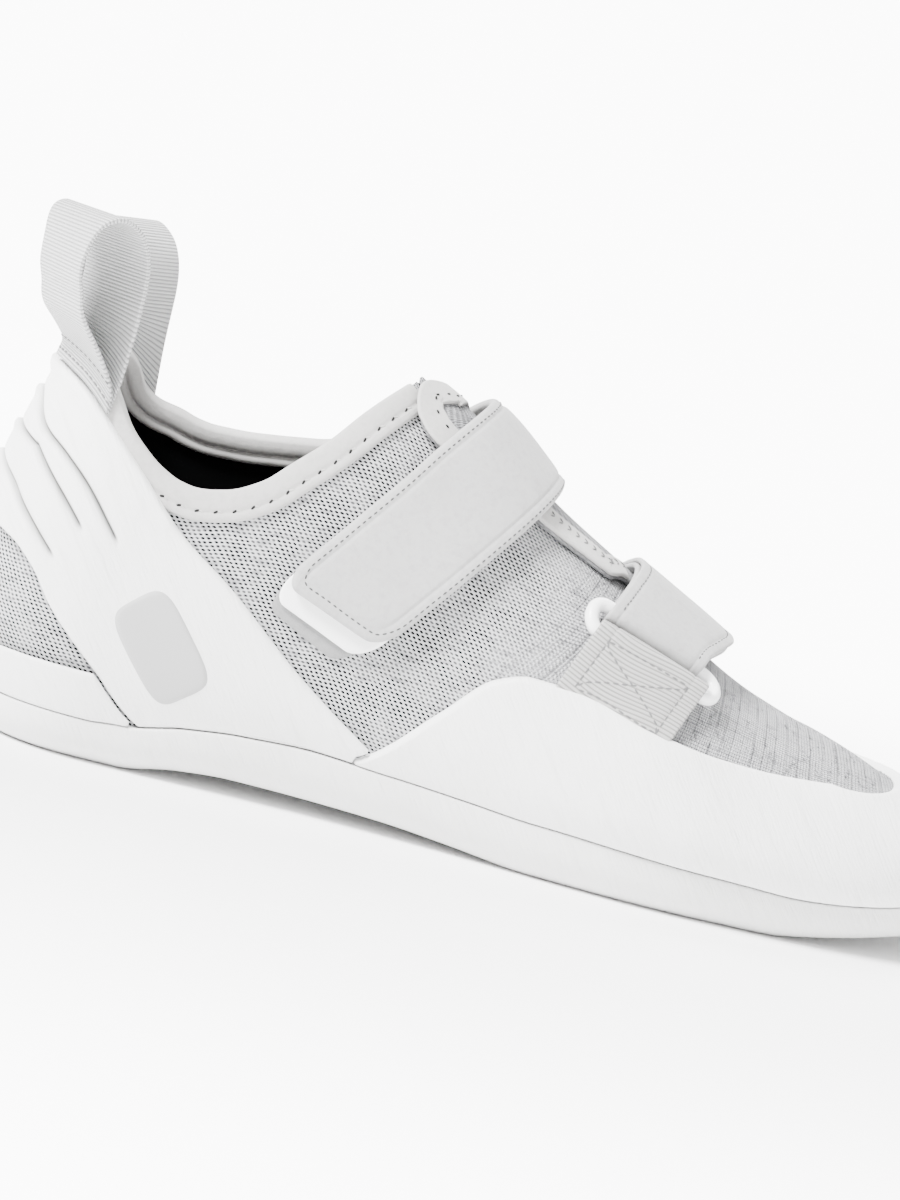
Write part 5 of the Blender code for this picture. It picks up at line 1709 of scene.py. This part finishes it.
# Painted shade of the trim's stitch holes, as dark beads.
beads("flap_hole_shade", *holes, (0.0013, 0.0006, 0.0006), HOLE_SHADE)
line = trim_top[~near_tip, int(trim_top.shape[1] * 0.55)]
# The flap trim's stitches, painted darker as painted shade of their holes.
for name, lean in (("flap_stitches_up", 0.8), ("flap_stitches_down", -0.8)):
    places, headings, upward = even_spots(line + unit(facing[~near_tip]) * 0.0001, facing[~near_tip], 0.0026)
    sideways = np.cross(upward, headings)
    slants = unit(headings + sideways * lean)
    beads(name, places + sideways * lean * 0.0007, slants, upward, (0.0015, 0.0004, 0.0003), PALE_STITCH_SHADE)

# Ring, lower strap and webbing

slope_up = skin_slopes(-RING_ALONG, RING_Q)[1].length
slope_along = skin_slopes(-RING_ALONG, RING_Q)[0].length
half_long = RING_LENGTH / 2 - RING_ROD / 2
half_short = RING_BARS_APART / 2
corner = min(0.0034, half_short)
path = []
for sign_along, sign_up, begin in ((1, 1, 0), (-1, 1, 90), (-1, -1, 180), (1, -1, 270)):
    for turn in np.linspace(begin, begin + 90, 9):
        angle = math.radians(turn)
        along = sign_along * (half_long - corner) + corner * math.cos(angle)
        path.append((along, sign_up * (half_short - corner) + corner * math.sin(angle)))
path = np.array(path + path[:1])
run = arc(np.c_[path, np.zeros(len(path))])
spots = np.linspace(0, run[-1], 181)
path = along_line(path, run, spots)
ring_u = -RING_ALONG - path[:, 0] / slope_along
ring_q = RING_Q + (path[:, 1] + RING_SLOPE * path[:, 0]) / slope_up
centre_line = over(ring_u, ring_q, np.full(len(path), RING_LIFT))
tangent = unit(np.roll(centre_line[:-1], -1, 0) - np.roll(centre_line[:-1], 1, 0))
tangent = np.concatenate([tangent, tangent[:1]])
out = unit(read(NORMAL, -RING_ALONG, RING_Q))
out = unit(out - tangent * (tangent * out).sum(-1, keepdims=True))
aside = np.cross(tangent, out)
turns = np.linspace(0, 2 * math.pi, 17)[:-1]
spokes = out[:, None] * np.cos(turns)[:, None] + aside[:, None] * np.sin(turns)[:, None]
tube = centre_line[:, None] + RING_ROD / 2 * spokes
ring = surface("ring_plastic", tube, PLASTIC, None, tube - centre_line[:, None], closed=True, weld=True)
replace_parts(ring, "ring")

# Both belts' hems are read from the rand's top edge where the belt is this high.
HEM_READ_HEIGHT = 0.42 * INSTEP_HEIGHT
LOWER_SEAM = 0.0026
WEBBING_SEAM = 0.0042
shares = across_shares(belt_width(LOWER_EDGES, LOWER_LEAN), (LOWER_SEAM,))
lines = []
for share in shares:
    wide = between(LOWER_EDGES, share)
    hem_x = wide * SHOE_LENGTH + LOWER_LEAN * HEM_READ_HEIGHT
    hem = INSTEP_HEIGHT * RAND_TOP(hem_x / SHOE_LENGTH) + HEM_CLEARANCE
    lines.append(smooth_line(lower_strap_path(belt_q(LOWER_LEAN, wide, hem, 1), ring_rise(share)), 260))
q, lift = np.stack(lines, 1)[..., 0], np.stack(lines, 1)[..., 1]
wide = between(LOWER_EDGES, shares)
narrow = between(LOWER_EDGES_AT_RING, shares)
bar_q = RING_Q + RING_BARS_APART / 2 / slope_up + np.array([ring_rise(share) for share in shares])
foot = narrow + (wide - narrow) * smooth(0.0, 1.0, (q - bar_q) / (0.95 - bar_q))
mid = over(belt_spot(LOWER_LEAN, foot, q), q, lift + LOWER_STAND * shares * ridge_share(q))
groove = (LOWER_SEAM, 0.00022, 0.0004)
lower, lower_top, lower_normal = strip(
    "lower_strap_suede", mid, LOWER_STRAP_WALL, STRAP_SUEDE, (0, -0.3, 1), 0.0007, (groove,), row=225
)
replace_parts(lower, "lower_strap")

radius = FOLD_RADIUS + WEBBING_WALL / 2
shares = across_shares(belt_width(WEBBING_EDGES, WEBBING_LEAN), (0.0040,))
lines = []
for share in shares:
    foot = between(WEBBING_EDGES, share)
    top_x = foot * SHOE_LENGTH + WEBBING_LEAN * HEM_READ_HEIGHT
    bar_q = RING_Q - RING_BARS_APART / 2 / slope_up + ring_rise(share)
    hem = belt_q(WEBBING_LEAN, foot, INSTEP_HEIGHT * RAND_TOP(top_x / SHOE_LENGTH) - 0.0022)
    path = [(v, 2 * GAP + WEBBING_WALL / 2) for v in np.linspace(hem, bar_q - 0.03, 4)]
    for turn in (180, 150, 120, 90, 60, 30, 0):
        angle = math.radians(turn)
        path.append((bar_q + radius * math.sin(angle) / slope_up, RING_LIFT + radius * math.cos(angle)))
    doubled = 3 * GAP + 1.5 * WEBBING_WALL
    path += [(bar_q - 0.04, RING_LIFT + radius - 0.0012), (bar_q - 0.09, doubled + 0.0014)]
    path += [((hem + bar_q) / 2 - 0.02, doubled + 0.0003), (hem + 0.045, doubled - 0.0003), (hem, 0.0008)]
    lines.append(smooth_line(path, 170))
q, lift = np.stack(lines, 1)[..., 0], np.stack(lines, 1)[..., 1]
foot = between(WEBBING_EDGES, shares)
mid = over(belt_spot(WEBBING_LEAN, foot, q), q, lift)
groove = (0.0040, 0.0002, 0.0004)
webbing, webbing_top, webbing_normal = strip(
    "ring_webbing_cloth", mid, WEBBING_WALL, RING_WEBBING, (0, -1, 0.2), 0.0005, (groove,), row=140
)
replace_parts(webbing, "ring_webbing")


def column_at(points, row, distance):
    """The column of a strip's row at a distance in from its first edge, or, below 0, its last."""
    run = arc(points[row])
    distance = distance if distance >= 0 else run[-1] + distance
    return float(np.interp(distance, run, np.arange(points.shape[1])))


# The rows of the two belts' outer legs that carry their seams
LOWER_SEAM_ROWS = (158, 250)
WEBBING_SEAM_ROWS = (121, 160)
# The lower strap's stitches, painted dark as painted shade of their holes.
for name, distance in (("lower_strap_seam_back", LOWER_SEAM), ("lower_strap_seam_front", -LOWER_SEAM)):
    spots = [(row, column_at(lower_top, int(row), distance)) for row in np.linspace(*LOWER_SEAM_ROWS, 60)]
    sewn_line(name, lower_top, lower_normal, spots, 0.0018, DASH, STITCH_SHADE)
corners = []
for row, ways in zip(WEBBING_SEAM_ROWS, ((1, -1), (-1, 1))):
    corners += [(row, column_at(webbing_top, row, way * WEBBING_SEAM)) for way in ways]
ends = [(0, 1), (1, 2), (2, 3), (3, 0), (0, 2), (1, 3)]
# The webbing's box stitches, painted darker as painted shade of their holes.
for index, (first, last) in enumerate(ends):
    line = (np.array(corners[first]), np.array(corners[last]))
    spots = [tuple(between(line, t)) for t in np.linspace(0, 1, 60)]
    sewn_line(f"webbing_seam_{index}", webbing_top, webbing_normal, spots, 0.0021, LONG_DASH, PALE_STITCH_SHADE)

# Pull loops


LOOP_SEAMS = (0.06, 0.17)
LOOP_DASH = (0.0015, 0.0005, 0.0004)
OUTER_LOOP_TURN = 12
OUTER_LEG_TURN = 7


def loop_turn(side, share):
    """How far the webbing is turned about the vertical, at a share of the loop's length."""
    if side > 0:
        return math.radians(OUTER_LEG_TURN * float(smooth(0.50, 0.62, share)))
    whole = OUTER_LOOP_TURN + OUTER_LEG_TURN
    return math.radians(whole * float(smooth(0.42, 0.66, share)) - OUTER_LOOP_TURN)


def loop_ease(up):
    """How much further out the outer leg lies at a height, as a share of the loop's depth."""
    ease = -0.030 * float(smooth(0.25, 0.55, up)) - 0.022 * math.exp(-(((up - 0.47) / 0.11) ** 2))
    return ease + 0.030 * math.exp(-(((up - 0.20) / 0.08) ** 2))


def pull_loop(name, node, side):
    seat = SEAT + BINDING_WALL + SEAT + LOOP_WALL / 2
    station = LOOP_PLACES[side]
    foot_q = q_at(station, side, loop_foot(station))
    middle = Vector(over(np.array(side * station), np.array(foot_q), np.array(seat)))
    out = Vector((-math.cos(LOOP_FACING), side * math.sin(LOOP_FACING), 0))
    per_station = skin_slopes(side * station, foot_q)[0].length
    path = smooth_line(LOOP_PATH, 150)
    top_row = len(path) // 2
    shares = across_shares(LOOP_WIDTH, ())
    grid = []
    for index, (outward, up) in enumerate(path):
        row = []
        first = index < top_row
        loose = float(smooth(0.17, 0.55, up) if first else smooth(0.04, 0.47, up))
        share_on = index / len(path)
        facing = LOOP_FACING - loop_turn(side, share_on)
        outward = outward + loop_ease(up) * float(smooth(0.50, 0.62, share_on))
        forward = Vector((math.sin(facing), side * math.cos(facing), 0))
        for share in shares:
            wide = LOOP_WIDTH * (share - 0.5)
            place = station + wide / per_station
            point = middle + out * (outward * LOOP_DEPTH) + forward * wide
            point.z = loop_foot(station) + up * LOOP_HEIGHT
            if loose < 1:
                height = loop_foot(place) + up * LOOP_HEIGHT * 0.8
                lift = seat if first else seat + LOOP_WALL + GAP
                q = q_at(place, side, min(height, HEEL_HEIGHT))
                held = Vector(over(np.array(side * place), np.array(q), np.array(lift)))
                held.z = height
                point = held * (1 - loose) + point * loose
            row.append(tuple(point))
        grid.append(row)
    mid = np.array(grid)
    piece, _, normal = strip(name, mid, LOOP_WALL + 0.0002, WEBBING, out, 0.0005, row=30, straight=True)
    shown = mid - normal * (LOOP_WALL / 2 + 0.00015)
    # The loop's stitches, painted darker as painted shade of their holes.
    for index, height in enumerate(LOOP_SEAMS):
        row = top_row + int(np.argmin(np.abs(path[top_row:, 1] - height)))
        spots = [(row, column) for column in np.linspace(2, mid.shape[1] - 3, 40)]
        sewn_line(f"{name}_seam_{index}", shown, -normal, spots, 0.0019, LOOP_DASH, PALE_STITCH_SHADE)
    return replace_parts(piece, node)


pull_loop("pull_loop_outer_cloth", "pull_loop_outer", -1)
pull_loop("pull_loop_inner_cloth", "pull_loop_inner", 1)

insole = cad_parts["insole"]
insole.data.materials.clear()
insole.data.materials.append(LINING)

# Floor, light and camera

FLOOR_HALF = 30
# The paper glows a little past an oval round the shoe: its middle, its stretch and its reach.
GLOW_MIDDLE = 0.10
GLOW_STRETCH = 1.6
GLOW_REACH = (0.08, 0.40)
GLOW = 5.0
# The photo's camera: rolled, looking a little down, from afar.
ROLL, ELEVATION = math.radians(14.0), math.radians(9.5)
CAMERA_AIM = (0.1135 - REST_SPOT, 0, 0.054)
CAMERA_AWAY = 1.2
CAMERA_LENS = 4.2

mesh = bpy.data.meshes.new("floor")
far = FLOOR_HALF
mesh.from_pydata([(-far, -far, 0), (far, -far, 0), (far, far, 0), (-far, far, 0)], [], [(0, 1, 2, 3)])
paper = Finish("floor", (0.96, 0.96, 0.96), 0.95)
paper.put("Base Color", paper.colour)
away_x, away_y, _ = paper.split(paper.place())
away_x = (away_x - GLOW_MIDDLE) / GLOW_STRETCH
glow = (away_x * away_x + away_y * away_y).join("SQRT").between(*GLOW_REACH) * GLOW
paper.put("Emission Strength", glow)
paper.shader.inputs["Emission Color"].default_value = (1, 1, 1, 1)
mesh.materials.append(paper.material)
floor = bpy.data.objects.new("floor", mesh)
bpy.context.scene.collection.objects.link(floor)


def from_photo(a, b, c):
    """A direction in the shoe's frame from one in the photo's, rolled back to level."""
    return Vector((a * math.cos(ROLL) - c * math.sin(ROLL), b, a * math.sin(ROLL) + c * math.cos(ROLL)))


right = from_photo(1, 0, 0)
back = from_photo(0, -math.cos(ELEVATION), math.sin(ELEVATION))
up = from_photo(0, math.sin(ELEVATION), math.cos(ELEVATION))
lens = bpy.data.cameras.new("photo_camera")
lens.sensor_width = 36
lens.lens = CAMERA_LENS * lens.sensor_width
camera = bpy.data.objects.new("photo_camera", lens)
bpy.context.scene.collection.objects.link(camera)
turned = Matrix((right, up, back)).transposed().to_4x4()
camera.matrix_world = Matrix.Translation(Vector(CAMERA_AIM) + back * CAMERA_AWAY) @ turned
bpy.context.scene.camera = camera


def sun(name, place, strength, spread):
    """A soft lamp from far away, with its spread in degrees."""
    data = bpy.data.lights.new(name, "SUN")
    data.energy = strength
    data.angle = math.radians(spread)
    lamp = bpy.data.objects.new(name, data)
    lamp.rotation_euler = (-Vector(place)).to_track_quat("-Z", "Y").to_euler()
    bpy.context.scene.collection.objects.link(lamp)
    return lamp


sun("key", (-0.75, -0.40, 1.05), 17, 22)
sun("top", (0.30, 0.90, 1.10), 5, 40)
world = bpy.data.worlds.new("studio")
world.use_nodes = True
sky = world.node_tree.nodes["Background"]
sky.inputs["Color"].default_value = (1, 1, 1, 1)
sky.inputs["Strength"].default_value = 1.3
bpy.context.scene.world = world
